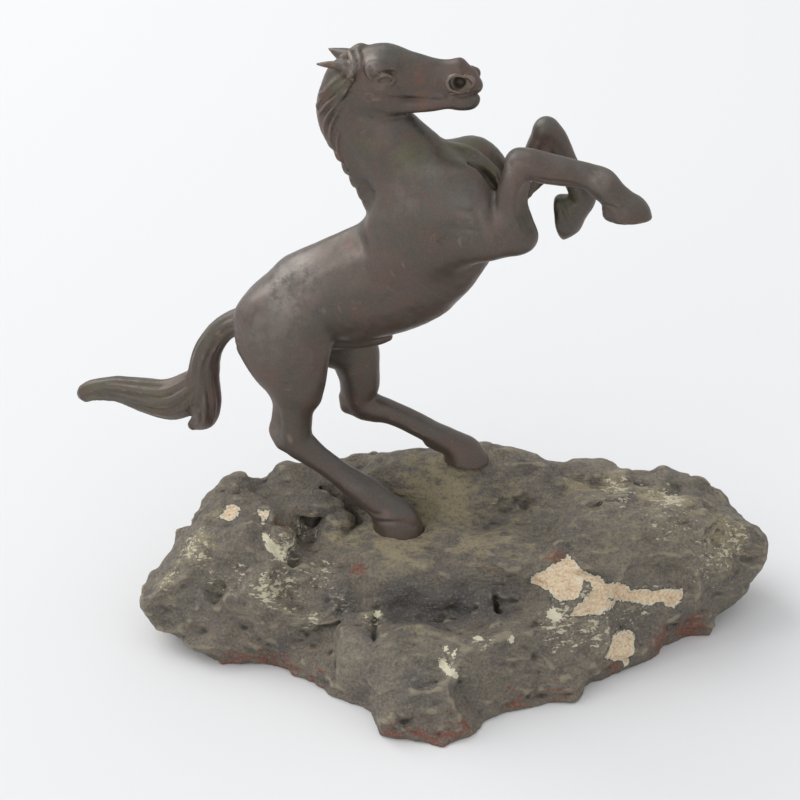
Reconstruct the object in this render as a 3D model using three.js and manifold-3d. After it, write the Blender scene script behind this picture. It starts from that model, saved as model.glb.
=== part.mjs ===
// Bronze horse figurine: a rearing horse, cast in one piece, standing with its two hind hooves
// on a rough rock plinth. Millimetres, +Z up, +X the way the horse faces. The origin is in the
// middle of the outline, on the surface that the plinth stands on.
import * as THREE from 'three';
import Module from 'manifold-3d';
import { mergeVertices } from 'three/addons/utils/BufferGeometryUtils.js';

const wasm = await Module();
wasm.setup();

// Placing. The horse has a frame of its own: x forward, y to its left, z up.
const HORSE_YAW = THREE.MathUtils.degToRad(-14);
const HORSE_AT = [17, 26, 0];
const MIDDLE = [10.3, -10.9];

// Horse, radii of the flesh
const BARREL = 26.4;
const PELVIS = 20;
const NECK_ROOT = 22.5;
const THROAT = 16;
const SKULL = 12;
const MUZZLE = 8.4;
const THIGH = 19.5;
const FOREARM = 8.8;
const KNEE = 6.8;
const HOCK = 9;
const CANNON = 6;
const FETLOCK = 7.2;
const HIND_Y = 17;
const FORE_Y = 17;

// Hooves
const HOOF_SOLE = 12.2;
const HOOF_FLAT = 0.87;
const SOLE_REACH = 1.45;
const SOLE_EDGE = 0.8;
const SOLE_SPARE = 2.5;
const SOLE_CUT = [32, 32, 6];
const NEAR_SOLE = [-13.5, -18, 51.8];
const NEAR_DOWN = [0, -0.17, -1];
const FAR_SOLE = [16, 19, 79];
const FAR_DOWN = [0, 0, -1];

// Hair
const TAIL_STRANDS = 9;
const CREST_CURLS = 7;
const MANE_STRANDS = [
  [
    [-38.4, -10, 302, 1.5], [-41.5, -10, 297.8, 1.8], [-48.4, -8.6, 292.4, 1.9], [-54, -6.2, 287.2, 1.6],
    [-57, -3.4, 282, 0.9],
  ],
  [
    [-38, -10.2, 299.4, 1.3], [-41.6, -10.2, 294.4, 1.7], [-45.8, -9.4, 290, 1.8],
    [-51.4, -7, 284.6, 1.7], [-55.4, -4, 279.4, 1],
  ],
  [[-40.6, -10.4, 293.8, 0.9], [-44.6, -9.6, 288.4, 1.4], [-49.4, -7.8, 281.6, 1.6], [-53, -5, 275, 1.2]],
  [[-43, -9.8, 286.6, 0.9], [-46.6, -9, 280.6, 1.2], [-50, -7, 273.6, 1.4], [-50.6, -5, 266.4, 1.1]],
];

// Rock
const LIP_HEIGHT = 15;
const LEDGE_SLOPE = 0.38;
const WAVE_DEPTH = 1.1;
const SEAT_GAP = 0.3;
const NEAR_ROOM = 1.7;
const FAR_ROOM = 2;
const SEAT_HEIGHT = 14;
const FACET_SPAN = 1.6;
const FACET_EDGE = 1.2;
const FACET_LIFT = 0.7;
const FLOOR = [560, 400, 40];
const UNDERSIDE = -5;
const LEDGE_REACH = 60;
const LEDGE_EDGE = 9;
const SEAT_SIDES = 40;

// Facets
const HORSE_CELL = 1.7;
const ROCK_CELL = 2.6;
const HORSE_FACES = 6300;
const ROCK_FACES = 3050;
const FAR_AWAY = 50;
const MOST_TURN = 0.35;
const THINNEST = 0.06;

const BRONZE = new THREE.MeshStandardMaterial({ color: 0x554a42, roughness: 0.42, metalness: 0.85 });
const STONE = new THREE.MeshStandardMaterial({ color: 0x5d5548, roughness: 0.9, metalness: 0 });

const smoothMin = (a, b, blend) => {
  const near = Math.max(blend - Math.abs(a - b), 0) / blend;
  return Math.min(a, b) - near * near * blend * 0.25;
};
const smoothMax = (a, b, blend) => -smoothMin(-a, -b, blend);
const unit = v => {
  const length = Math.hypot(...v);
  return v.map(value => value / length);
};
const cross = (a, b) => [
  a[1] * b[2] - a[2] * b[1],
  a[2] * b[0] - a[0] * b[2],
  a[0] * b[1] - a[1] * b[0],
];

// Distance to a cone with round ends, narrowed or widened by flat along the side direction.
function coneDistance(a, b, side) {
  const axis = [b.x - a.x, b.y - a.y, b.z - a.z];
  const square = Math.max(axis[0] ** 2 + axis[1] ** 2 + axis[2] ** 2, 1e-9);
  const flat = (a.flat + b.flat) / 2;
  return (x, y, z) => {
    const px = x - a.x;
    const py = y - a.y;
    const pz = z - a.z;
    const along = (px * axis[0] + py * axis[1] + pz * axis[2]) / square;
    const t = Math.min(Math.max(along, 0), 1);
    const vx = px - t * axis[0];
    const vy = py - t * axis[1];
    const vz = pz - t * axis[2];
    const radius = a.r + (b.r - a.r) * t;
    const all = vx * vx + vy * vy + vz * vz;
    if (flat === 1) return Math.sqrt(all) - radius;
    const lateral = (vx * side[0] + vy * side[1] + vz * side[2]) ** 2;
    const rest = all - lateral;
    const scaled = Math.sqrt(Math.max(lateral / flat ** 2 + rest, 1e-9));
    const steep = Math.sqrt(Math.max(lateral / flat ** 4 + rest, 1e-9));
    return (scaled * (scaled - radius)) / steep;
  };
}

// A body as a field of distances on a grid, negative inside.
class Clay {
  constructor(low, high, cell) {
    this.low = low;
    this.cell = cell;
    this.count = low.map((value, i) => Math.ceil((high[i] - value) / cell) + 1);
    this.values = new Float32Array(this.count[0] * this.count[1] * this.count[2]).fill(FAR_AWAY);
  }

  // Sets every grid value of a box to change(old value, x, y, z).
  each(low, high, change) {
    const from = low.map((v, i) => Math.max(Math.floor((v - this.low[i]) / this.cell), 0));
    const to = high.map((v, i) => Math.min(Math.ceil((v - this.low[i]) / this.cell) + 1, this.count[i]));
    for (let i = from[0]; i < to[0]; i++) {
      for (let j = from[1]; j < to[1]; j++) {
        for (let k = from[2]; k < to[2]; k++) {
          const at = (i * this.count[1] + j) * this.count[2] + k;
          const x = this.low[0] + i * this.cell;
          const y = this.low[1] + j * this.cell;
          const z = this.low[2] + k * this.cell;
          this.values[at] = change(this.values[at], x, y, z);
        }
      }
    }
  }

  join(low, high, blend, distance) {
    this.each(low, high, (old, x, y, z) => smoothMin(old, distance(x, y, z), blend));
  }

  carve(low, high, blend, distance) {
    this.each(low, high, (old, x, y, z) => smoothMax(old, -distance(x, y, z), blend));
  }

  // A limb, muscle or lock through stations [x, y, z, radius, flat].
  sweep(stations, blend, { side = [0, 1, 0], hollow = false, mirror = false } = {}) {
    if (mirror) {
      const other = stations.map(([x, y, ...rest]) => [x, -y, ...rest]);
      this.sweep(other, blend, { side: [side[0], -side[1], side[2]], hollow });
    }
    const path = smoothPath(stations.map(([x, y, z, r, flat = 1]) => ({ x, y, z, r, flat })));
    const way = unit(side);
    const pieces = path.slice(1).map((point, i) => coneDistance(path[i], point, way));
    const reach = blend + 2 * this.cell;
    const widest = p => p.r * Math.max(p.flat, 1);
    const low = ['x', 'y', 'z'].map(k => Math.min(...path.map(p => p[k] - widest(p))) - reach);
    const high = ['x', 'y', 'z'].map(k => Math.max(...path.map(p => p[k] + widest(p))) + reach);
    const distance = (x, y, z) => pieces.reduce((best, piece) => Math.min(best, piece(x, y, z)), FAR_AWAY);
    if (hollow) this.carve(low, high, blend, distance);
    else this.join(low, high, blend, distance);
  }

  // A hoof laid on through stations and cut flat by its sole, or past it by a spare height to be
  // cut off.
  hoof(stations, sole, down, blend, spare = 0) {
    const normal = unit(down);
    const reach = SOLE_REACH * HOOF_SOLE;
    this.sweep(stations, blend);
    this.each(sole.map(v => v - reach), sole.map(v => v + reach), (old, x, y, z) => {
      const [px, py, pz] = [x - sole[0], y - sole[1], z - sole[2]];
      const below = px * normal[0] + py * normal[1] + pz * normal[2] - spare;
      return Math.hypot(px, py, pz) < reach ? smoothMax(old, below, SOLE_EDGE) : old;
    });
  }
}

// A smooth curve through the stations, with the radius and flatness eased along with it.
function smoothPath(points, steps = 4) {
  if (points.length < 3) return points;
  const path = [];
  for (let i = 0; i < points.length - 1; i++) {
    const last = points.length - 1;
    const four = [points[Math.max(i - 1, 0)], points[i], points[i + 1], points[Math.min(i + 2, last)]];
    for (let j = 0; j < steps; j++) {
      const t = j / steps;
      const eased = {};
      for (const key of ['x', 'y', 'z', 'r', 'flat']) {
        const [a, b, c, d] = four.map(p => p[key]);
        const bend = 2 * a - 5 * b + 4 * c - d;
        eased[key] = 0.5 * (2 * b + (c - a) * t + bend * t * t + (3 * b - a - 3 * c + d) * t ** 3);
      }
      path.push(eased);
    }
  }
  path.push(points[points.length - 1]);
  return path;
}

// Fills what touches only along an edge or at a corner of the grid, so that the surface never
// meets itself: a square, or a cell, whose opposite corners alone are inside.
function closePinches(clay) {
  const [nx, ny, nz] = clay.count;
  const step = [ny * nz, nz, 1];
  const values = clay.values;
  const inside = at => values[at] < 0;
  const fill = at => {
    values[at] = -0.05 * clay.cell;
  };
  let changed = true;
  while (changed) {
    changed = false;
    for (let i = 0; i < nx - 1; i++) {
      for (let j = 0; j < ny - 1; j++) {
        for (let k = 0; k < nz - 1; k++) {
          const at = i * step[0] + j * step[1] + k;
          for (const [u, v] of [[step[0], step[1]], [step[1], step[2]], [step[2], step[0]]]) {
            const ring = [at, at + u, at + u + v, at + v];
            const first = inside(ring[0]);
            if (first !== inside(ring[2]) || inside(ring[1]) === first || inside(ring[3]) === first) continue;
            const open = ring.filter(corner => !inside(corner));
            fill(values[open[0]] < values[open[1]] ? open[0] : open[1]);
            changed = true;
          }
          const corners = [0, 1, 2, 3, 4, 5, 6, 7]
            .map(n => at + (n & 1) * step[0] + ((n >> 1) & 1) * step[1] + (n >> 2) * step[2]);
          const full = corners.filter(inside);
          for (const pair of [[0, 7], [1, 6], [2, 5], [4, 3]]) {
            const ends = pair.map(n => corners[n]);
            const alike = inside(ends[0]) === inside(ends[1]);
            const twoOrSix = full.length === 2 || full.length === 6;
            const lonely = alike && twoOrSix && (full.length === 2) === inside(ends[0]);
            if (!lonely) continue;
            corners.filter(corner => !inside(corner)).slice(0, 3).forEach(fill);
            changed = true;
          }
        }
      }
    }
  }
}

// The surface where the field is zero: one vertex in each cell that the surface crosses.
function skin(clay) {
  closePinches(clay);
  const [nx, ny, nz] = clay.count;
  const value = (i, j, k) => clay.values[(i * ny + j) * nz + k];
  const ids = new Int32Array(nx * ny * nz).fill(-1);
  const corners = [0, 1, 2, 3, 4, 5, 6, 7].map(n => [n & 1, (n >> 1) & 1, (n >> 2) & 1]);
  const edges = [];
  corners.forEach((a, m) => corners.forEach((b, n) => {
    if (m < n && a.reduce((sum, v, i) => sum + Math.abs(v - b[i]), 0) === 1) edges.push([a, b]);
  }));
  const vertices = [];
  for (let i = 0; i < nx - 1; i++) {
    for (let j = 0; j < ny - 1; j++) {
      for (let k = 0; k < nz - 1; k++) {
        const sum = [0, 0, 0];
        let crossings = 0;
        for (const [a, b] of edges) {
          const va = value(i + a[0], j + a[1], k + a[2]);
          const vb = value(i + b[0], j + b[1], k + b[2]);
          if (va < 0 === vb < 0) continue;
          const t = va / (va - vb);
          for (let n = 0; n < 3; n++) sum[n] += a[n] + (b[n] - a[n]) * t;
          crossings++;
        }
        if (crossings === 0) continue;
        ids[(i * ny + j) * nz + k] = vertices.length;
        vertices.push([i, j, k].map((n, d) => clay.low[d] + (n + sum[d] / crossings) * clay.cell));
      }
    }
  }
  const faces = [];
  const steps = [[1, 0, 0], [0, 1, 0], [0, 0, 1]];
  for (let i = 1; i < nx - 1; i++) {
    for (let j = 1; j < ny - 1; j++) {
      for (let k = 1; k < nz - 1; k++) {
        const inside = value(i, j, k) < 0;
        steps.forEach((step, d) => {
          if (value(i + step[0], j + step[1], k + step[2]) < 0 === inside) return;
          const u = steps[(d + 1) % 3];
          const v = steps[(d + 2) % 3];
          const id = (a, b) => {
            const cellAt = [i, j, k].map((n, m) => n - a * u[m] - b * v[m]);
            return ids[(cellAt[0] * ny + cellAt[1]) * nz + cellAt[2]];
          };
          const ring = [id(1, 1), id(0, 1), id(0, 0), id(1, 0)];
          if (!inside) ring.reverse();
          faces.push([ring[0], ring[1], ring[2]], [ring[0], ring[2], ring[3]]);
        });
      }
    }
  }
  return { vertices, faces };
}

// Keeps the cheapest edges to collapse at the top.
class Heap {
  constructor() {
    this.items = [];
  }

  push(item) {
    const items = this.items;
    let at = items.push(item) - 1;
    while (at > 0) {
      const parent = (at - 1) >> 1;
      if (items[parent].cost <= items[at].cost) break;
      [items[parent], items[at]] = [items[at], items[parent]];
      at = parent;
    }
  }

  pop() {
    const items = this.items;
    const top = items[0];
    const last = items.pop();
    if (items.length === 0) return top;
    items[0] = last;
    let at = 0;
    for (;;) {
      let least = at;
      for (const child of [2 * at + 1, 2 * at + 2]) {
        if (child < items.length && items[child].cost < items[least].cost) least = child;
      }
      if (least === at) return top;
      [items[least], items[at]] = [items[at], items[least]];
      at = least;
    }
  }
}

// Collapses edges, those that change the form least first, until faceCount triangles are left.
function facet({ vertices, faces }, faceCount) {
  const around = vertices.map(() => new Set());
  faces.forEach((face, f) => face.forEach(v => around[v].add(f)));
  const normalOf = (p, q, r) => cross(q.map((v, i) => v - p[i]), r.map((v, i) => v - p[i]));
  const quadrics = vertices.map(() => new Float64Array(10));
  faces.forEach(face => {
    const [p, q, r] = face.map(v => vertices[v]);
    const normal = normalOf(p, q, r);
    const area = Math.hypot(...normal) + 1e-12;
    const [a, b, c] = normal.map(v => v / area);
    const d = -(a * p[0] + b * p[1] + c * p[2]);
    const terms = [a * a, a * b, a * c, a * d, b * b, b * c, b * d, c * c, c * d, d * d];
    face.forEach(v => terms.forEach((term, i) => {
      quadrics[v][i] += term * area;
    }));
  });
  const error = (q, [x, y, z]) =>
    q[0] * x * x + 2 * q[1] * x * y + 2 * q[2] * x * z + 2 * q[3] * x + q[4] * y * y
    + 2 * q[5] * y * z + 2 * q[6] * y + q[7] * z * z + 2 * q[8] * z + q[9];
  const best = (q, ends) => {
    const matrix = new THREE.Matrix3().set(q[0], q[1], q[2], q[1], q[4], q[5], q[2], q[5], q[7]);
    const middle = ends[0].map((v, i) => (v + ends[1][i]) / 2);
    const choices = [middle, ...ends];
    if (Math.abs(matrix.determinant()) > 1e-3) {
      const point = new THREE.Vector3(-q[3], -q[6], -q[8]).applyMatrix3(matrix.invert()).toArray();
      const reach = Math.hypot(...ends[0].map((v, i) => v - ends[1][i]));
      if (Math.hypot(...point.map((v, i) => v - middle[i])) < reach) choices.unshift(point);
    }
    const costs = choices.map(point => error(q, point));
    const least = costs.indexOf(Math.min(...costs));
    return { point: choices[least], cost: costs[least] };
  };
  const version = new Int32Array(vertices.length);
  const heap = new Heap();
  const offer = (a, b) => {
    const sum = quadrics[a].map((value, i) => value + quadrics[b][i]);
    const ends = [vertices[a], vertices[b]];
    const spread = ends[0].reduce((total, v, i) => total + (v - ends[1][i]) ** 2, 0);
    const { point, cost } = best(sum, ends);
    heap.push({ a, b, point, cost: cost + 1e-3 * spread, stamp: version[a] + version[b] });
  };
  const neighbours = v => {
    const found = new Set();
    around[v].forEach(f => faces[f].forEach(other => found.add(other)));
    found.delete(v);
    return found;
  };
  vertices.forEach((_, v) => neighbours(v).forEach(other => {
    if (v < other) offer(v, other);
  }));
  const keepsForm = (v, other, point) => {
    for (const f of around[v]) {
      const face = faces[f];
      if (face.includes(other)) continue;
      const before = normalOf(...face.map(i => vertices[i]));
      const after = normalOf(...face.map(i => (i === v ? point : vertices[i])));
      const turned = before.reduce((sum, value, i) => sum + value * after[i], 0);
      const size = Math.hypot(...after);
      if (turned < MOST_TURN * Math.hypot(...before) * size) return false;
      const sides = face.map((i, n) => {
        const p = i === v ? point : vertices[i];
        const q = face[(n + 1) % 3] === v ? point : vertices[face[(n + 1) % 3]];
        return Math.hypot(p[0] - q[0], p[1] - q[1], p[2] - q[2]);
      });
      if (size < THINNEST * Math.max(...sides) ** 2) return false;
    }
    return true;
  };
  let left = faces.length;
  while (left > faceCount && heap.items.length > 0) {
    const { a, b, point, stamp } = heap.pop();
    if (around[a].size === 0 || around[b].size === 0 || stamp !== version[a] + version[b]) continue;
    const nearA = neighbours(a);
    if (!nearA.has(b)) continue;
    const shared = [...neighbours(b)].filter(v => nearA.has(v));
    if (shared.length !== 2 || !keepsForm(a, b, point) || !keepsForm(b, a, point)) continue;
    vertices[a] = point;
    quadrics[a] = quadrics[a].map((value, i) => value + quadrics[b][i]);
    for (const f of [...around[b]]) {
      if (faces[f].includes(a)) {
        faces[f].forEach(v => around[v].delete(f));
        faces[f] = null;
        left--;
      } else {
        faces[f] = faces[f].map(v => (v === b ? a : v));
        around[a].add(f);
      }
    }
    around[b].clear();
    version[a] += version[b] + 1;
    neighbours(a).forEach(other => offer(a, other));
  }
  return { vertices, faces: faces.filter(face => face !== null) };
}

// A closed solid from vertices and faces, without the vertices that no face uses.
function solidFrom({ vertices, faces }) {
  const slot = new Map();
  faces.flat().forEach(v => {
    if (!slot.has(v)) slot.set(v, slot.size);
  });
  const vertProperties = Float32Array.from([...slot.keys()].flatMap(v => vertices[v]));
  const triVerts = Uint32Array.from(faces.flat().map(v => slot.get(v)));
  return new wasm.Manifold(new wasm.Mesh({ numProp: 3, vertProperties, triVerts }));
}

function solidOf(geometry) {
  geometry.deleteAttribute('normal');
  geometry.deleteAttribute('uv');
  const merged = mergeVertices(geometry, 1e-4);
  return new wasm.Manifold(new wasm.Mesh({
    numProp: 3,
    vertProperties: Float32Array.from(merged.attributes.position.array),
    triVerts: Uint32Array.from(merged.index.array),
  }));
}

function geometryOf(solid) {
  const mesh = solid.getMesh();
  const geometry = new THREE.BufferGeometry();
  geometry.setAttribute('position', new THREE.BufferAttribute(Float32Array.from(mesh.vertProperties), 3));
  geometry.setIndex(new THREE.BufferAttribute(Uint32Array.from(mesh.triVerts), 1));
  geometry.computeVertexNormals();
  return geometry;
}

// Moves a geometry that stands on z = 0 to a point, with its underside facing down.
function standAt(geometry, point, down) {
  const up = new THREE.Vector3(...down).normalize().negate();
  const turn = new THREE.Quaternion().setFromUnitVectors(new THREE.Vector3(0, 0, 1), up);
  return geometry.applyQuaternion(turn).translate(...point);
}

function trunk(horse) {
  horse.sweep([
    [-90, 0, 162, 13, 1.35], [-79, 0, 166, PELVIS, 1.1], [-55, 0, 180, 23.3], [-31, 0, 189, BARREL, 0.94],
    [-12, 0, 200, BARREL, 0.92], [4, 0, 222, 24, 0.88], [12, 0, 243, 18, 0.95],
  ], 8);
  const croup = [[-90.5, 0, 168, 8.2, 1.5], [-79.5, 0, 179, 9, 1.5], [-66, 0, 188, 9.2, 1.3]];
  const spine = [
    [-72, 0, 187.4, 9], [-56, 0, 198.2, 9.4, 0.9], [-42, 0, 207.4, 9, 0.7], [-27, 0, 216.8, 8, 0.7],
  ];
  const belly = [
    [-40, 0, 171.5, 13], [-22, 0, 178.9, 13.3], [-5, 0, 187.2, 11.6],
    [8, 0, 199, 10.5, 0.9], [18, 0, 211, 9, 0.9],
  ];
  const sheath = [[-54, 1, 153, 5.4], [-40, 1, 155, 4.6], [-29, 0, 157.2, 3.7], [-23.5, 0, 158.8, 2.6]];
  horse.sweep(croup, 8);
  horse.sweep(spine, 8);
  horse.sweep(belly, 10);
  horse.sweep(sheath, 4);
}

function neck(horse) {
  horse.sweep([
    [-8, 0, 226, 25, 0.74], [-9, 0, 245, NECK_ROOT, 0.72], [-23, 0, 263.5, 19.5, 0.64],
    [-36.5, 0, 278, THROAT, 0.62], [-43, 0, 292, 11.5, 0.75],
  ], 8);
  const windpipe = [[-2, 0, 254, 13, 0.8], [-18, 0, 266, 11.4, 0.8]];
  const crest = [
    [-32, 0, 234, 4.5], [-41, 0, 253, 5], [-51, 0, 270, 6], [-51.5, 0, 285, 6.5], [-46, 0, 296, 5],
  ];
  horse.sweep(windpipe, 7);
  horse.sweep(crest, 5);
}

// Breast muscles, shoulder blades, upper arms, and the fold of skin with the hollow under it.
function breast(horse) {
  const farMuscle = [[-8, 6, 250, 9], [5, 10, 250, 13], [17, 13, 255.2, 10.8], [27, 14, 248.4, 8]];
  const nearMuscle = [[-8, -5, 249, 9], [5, -8.5, 248.5, 13], [18, -10.5, 251.5, 10], [27, -13, 244.5, 8]];
  const shoulderBlade = [[-23, -9, 222, 7, 0.8], [0, -14, 235, 11], [22, -17, 240, 11]];
  const upperArm = [[-14, -14, 212, 12, 0.8], [6, -17, 222, 14, 0.7], [26, -19, 229, 11.5, 0.8]];
  const underFold = [[20, -8, 260, 2.4], [28, -8, 255, 4.4], [33, -11, 249, 3.4]];
  const fold = [
    [6, 3, 264, 1.4], [15, 2.5, 263.6, 2], [21.5, 0, 261.4, 2.3],
    [29.3, -2, 255.8, 2.4], [33.5, -5, 251, 1.8],
  ];
  horse.sweep(farMuscle, 7);
  horse.sweep(nearMuscle, 8);
  horse.sweep(shoulderBlade, 8, { mirror: true });
  horse.sweep(upperArm, 8, { mirror: true });
  horse.sweep(underFold, 4, { hollow: true });
  horse.sweep(fold, 3);
}

function head(horse) {
  horse.sweep([
    [-41, 0, 296, 11, 0.8], [-27, 0, 299.5, SKULL, 0.76], [-10, 0, 299.2, 9.8, 0.72],
    [4, 0, 299, 8, 0.74], [13, 0, 299.6, MUZZLE, 0.84],
  ], 4);
  const bridge = [
    [-36, 0, 305.5, 5, 1.2], [-24, 0, 309.4, 4.7, 1.3], [-12, 0, 307.3, 4, 1.1], [2, 0, 305.6, 3.5, 1],
    [11, 0, 307, 3.9, 1.1],
  ];
  const cheek = [[-31, -5, 291, 11, 0.5], [-25, -5, 291.5, 10.6, 0.5]];
  const jawBone = [[-20, -4.2, 285.4, 3.8], [-6, -3.6, 287, 3.6], [8, -2.6, 289.5, 3.4]];
  const brow = [[-33, -6, 305.4, 2.4], [-26, -7.4, 307.6, 3.2], [-19, -6.4, 306.4, 2.2]];
  horse.sweep(bridge, 3);
  horse.sweep(cheek, 1.6, { mirror: true });
  horse.sweep(jawBone, 3, { mirror: true });
  horse.sweep(brow, 2.2, { mirror: true });

  const upperLip = [[13, 0, 296.4, 6, 1.02], [18.8, 0, 297.4, 4.4, 1.15]];
  const lowerLip = [
    [4, 0, 289.8, 4.4, 1.1], [11, 0, 289.3, 4.8, 1.15], [16.5, 0, 289.8, 4.6, 1.1],
    [18.7, 0, 291, 3.3, 1.1],
  ];
  const nostrilRim = [
    [14.6, -6.8, 303.8, 1], [11.3, -7.5, 304.6, 1.3], [8.2, -7.8, 303.2, 1.4], [7.2, -7.6, 300.4, 1.4],
    [8.4, -7.4, 297.6, 1.2], [12, -7, 296.4, 1], [15, -6.4, 297.6, 0.8],
  ];
  const nostrilWing = [
    [15.6, -6.2, 304.2, 1.3], [18.4, -5.6, 302.6, 1.9], [18.8, -5.2, 299.8, 1.5],
    [16.4, -5.8, 297.4, 0.9],
  ];
  const nostril = [[11.4, -9.6, 300.6, 2.7], [12, -4.8, 300.4, 2]];
  const mouth = [[24, -2.5, 295, 0.8], [20, -5.2, 294.9, 0.9], [13.2, -7, 294, 0.9], [7, -6.5, 293, 0.5]];
  horse.sweep(upperLip, 2);
  horse.sweep(lowerLip, 1.2);
  horse.sweep(nostrilRim, 1, { mirror: true });
  horse.sweep(nostrilWing, 1, { mirror: true });
  horse.sweep(nostril, 0.6, { hollow: true, mirror: true });
  horse.sweep(mouth, 0.6, { hollow: true, mirror: true });

  const socket = [[-24, -10.4, 300, 2.7], [-21, -10, 301, 2.7]];
  const eyeball = [[-22.8, -7, 300.2, 2.4], [-21.6, -6.9, 300.6, 2.4]];
  const upperLid = [
    [-26.8, -8.6, 298, 0.6], [-25, -9.8, 301, 1], [-21.6, -10.1, 303.2, 1.2], [-18.2, -8.7, 301.2, 0.7],
  ];
  const lowerLid = [
    [-26.6, -8.7, 297.8, 0.6], [-22.8, -9.9, 297.4, 0.9], [-19.6, -9.4, 298.6, 0.8],
    [-18, -8.6, 300.8, 0.5],
  ];
  horse.sweep(socket, 1.8, { hollow: true, mirror: true });
  horse.sweep(eyeball, 0.4, { mirror: true });
  horse.sweep(upperLid, 0.6, { mirror: true });
  horse.sweep(lowerLid, 0.6, { mirror: true });

  const nearEar = [
    [-38, -7, 302.5, 3.6], [-42, -7.6, 304.2, 3], [-46, -8, 304.7, 2],
    [-50.5, -8, 304.6, 1.5], [-55.8, -8, 304.4, 0.5],
  ];
  const farEar = [
    [-40, 6, 303.6, 4.4], [-46, 7, 304.2, 3.9], [-50.5, 7.3, 305.4, 2.4], [-54.4, 7.5, 306.9, 0.9],
  ];
  horse.sweep(nearEar, 1.2);
  horse.sweep(farEar, 1.4, { side: [0, 0.3, 1] });
}

// The forelock, locks that fall behind the near ear, strands on both sides of the neck, and the
// curls along the crest.
function mane(horse) {
  horse.sweep([
    [-42, -1, 306.5, 3], [-37, 0, 310.3, 3], [-33.5, 0, 309.4, 2.4], [-29.5, -1, 308.4, 1.2],
  ], 1.2);
  horse.sweep([
    [-41, -3, 309.5, 1.4], [-38.6, -7, 307.4, 1.6], [-37.4, -9.4, 303.8, 1.6],
    [-38.6, -10.2, 300.6, 1.2],
  ], 0.6);
  for (const strand of MANE_STRANDS) {
    horse.sweep(strand, 0.8, { mirror: true });
  }
  for (let i = 0; i < CREST_CURLS; i++) {
    const t = i / (CREST_CURLS - 1);
    const x = -55.5 + 22.5 * t - 5 * t * (1 - t);
    const z = 272 - 38 * t;
    horse.sweep([
      [x, 2.5, z + 6, 1.4], [x - 1, 1.5, z + 1, 2], [x + 0.5, -2.5, z - 3.5, 1.5], [x + 3, -4.4, z - 5, 0.8],
    ], 0.8);
  }
}

function nearForeleg(horse) {
  const y = -FORE_Y;
  horse.sweep([[8, -13, 228, 13], [30, y, 228.6, 10.8], [41, y - 0.5, 229.2, 8.6], [45, y - 0.5, 231, 8]], 5);
  horse.sweep([[20, -15, 243, 10], [33, y, 238, 9.5], [40, y, 236, 9]], 5);
  horse.sweep([
    [45, y, 231, 8.2], [42.4, y, 238, FOREARM], [40.8, y, 249, FOREARM - 1], [42.6, y, 259, KNEE + 0.2],
    [44.5, y, 267, KNEE],
  ], 4);
  horse.sweep([
    [44, y, 268.3, KNEE - 0.2], [50, y, 267.8, KNEE + 0.4],
    [60, y, 266.2, CANNON + 0.8], [70, y, 265.3, CANNON + 0.4],
    [77, y, 264.2, CANNON + 0.5], [83.6, y, 261.5, FETLOCK - 0.1], [89.5, y, 255.8, FETLOCK - 0.8],
  ], 2);
  horse.sweep([[81, y, 258.5, 4.5], [85, y, 255.6, 4]], 2);
  const hoof = [
    [89.5, y, 255, 6.2, 0.95], [94, y, 250.2, 8.5, 0.92], [97.5, y, 247.6, 9, 0.95],
    [101, y, 245.6, 6.5, 1],
  ];
  horse.hoof(hoof, [94, y, 244.6], [0.12, -0.1, -1], 2.5);
  horse.sweep([[87.4, y - 1, 250.2, 4], [88.2, y - 1, 248.4, 4.6]], 1.2);
}

function farForeleg(horse) {
  const y = FORE_Y - 2;
  horse.sweep([[8, y - 2, 228, 13], [26, y + 1, 229, 10], [36, y + 1, 228, 8.5], [40, y, 229, 8]], 5);
  horse.sweep([
    [40, y, 229, 8], [42, y, 240, FOREARM - 0.2], [45, y, 251, FOREARM - 0.6], [48.5, y, 262, 7.8],
    [51, y, 271, KNEE + 0.4],
  ], 3);
  horse.sweep([
    [51, y, 273, KNEE + 0.2], [55, y, 268, KNEE], [59.5, y, 259, CANNON + 0.3], [65, y, 249.5, CANNON - 0.1],
    [70, y, 240.5, FETLOCK - 0.9], [67.5, y, 235, CANNON], [63.5, y, 232, CANNON + 1],
  ], 1.5);
  horse.sweep([[61, y, 225, 8], [59, y, 218.6, 4]], 3);
  const hoof = [
    [67, y, 235, 6.4], [62.5, y, 231, 9.2, 0.95], [59.5, y, 229, 11, 0.9], [53, y, 227.4, 11.8, 0.9],
  ];
  horse.hoof(hoof, [57.5, y, 229.5], [-1, -0.08, -0.22], 2.5);
}

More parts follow.
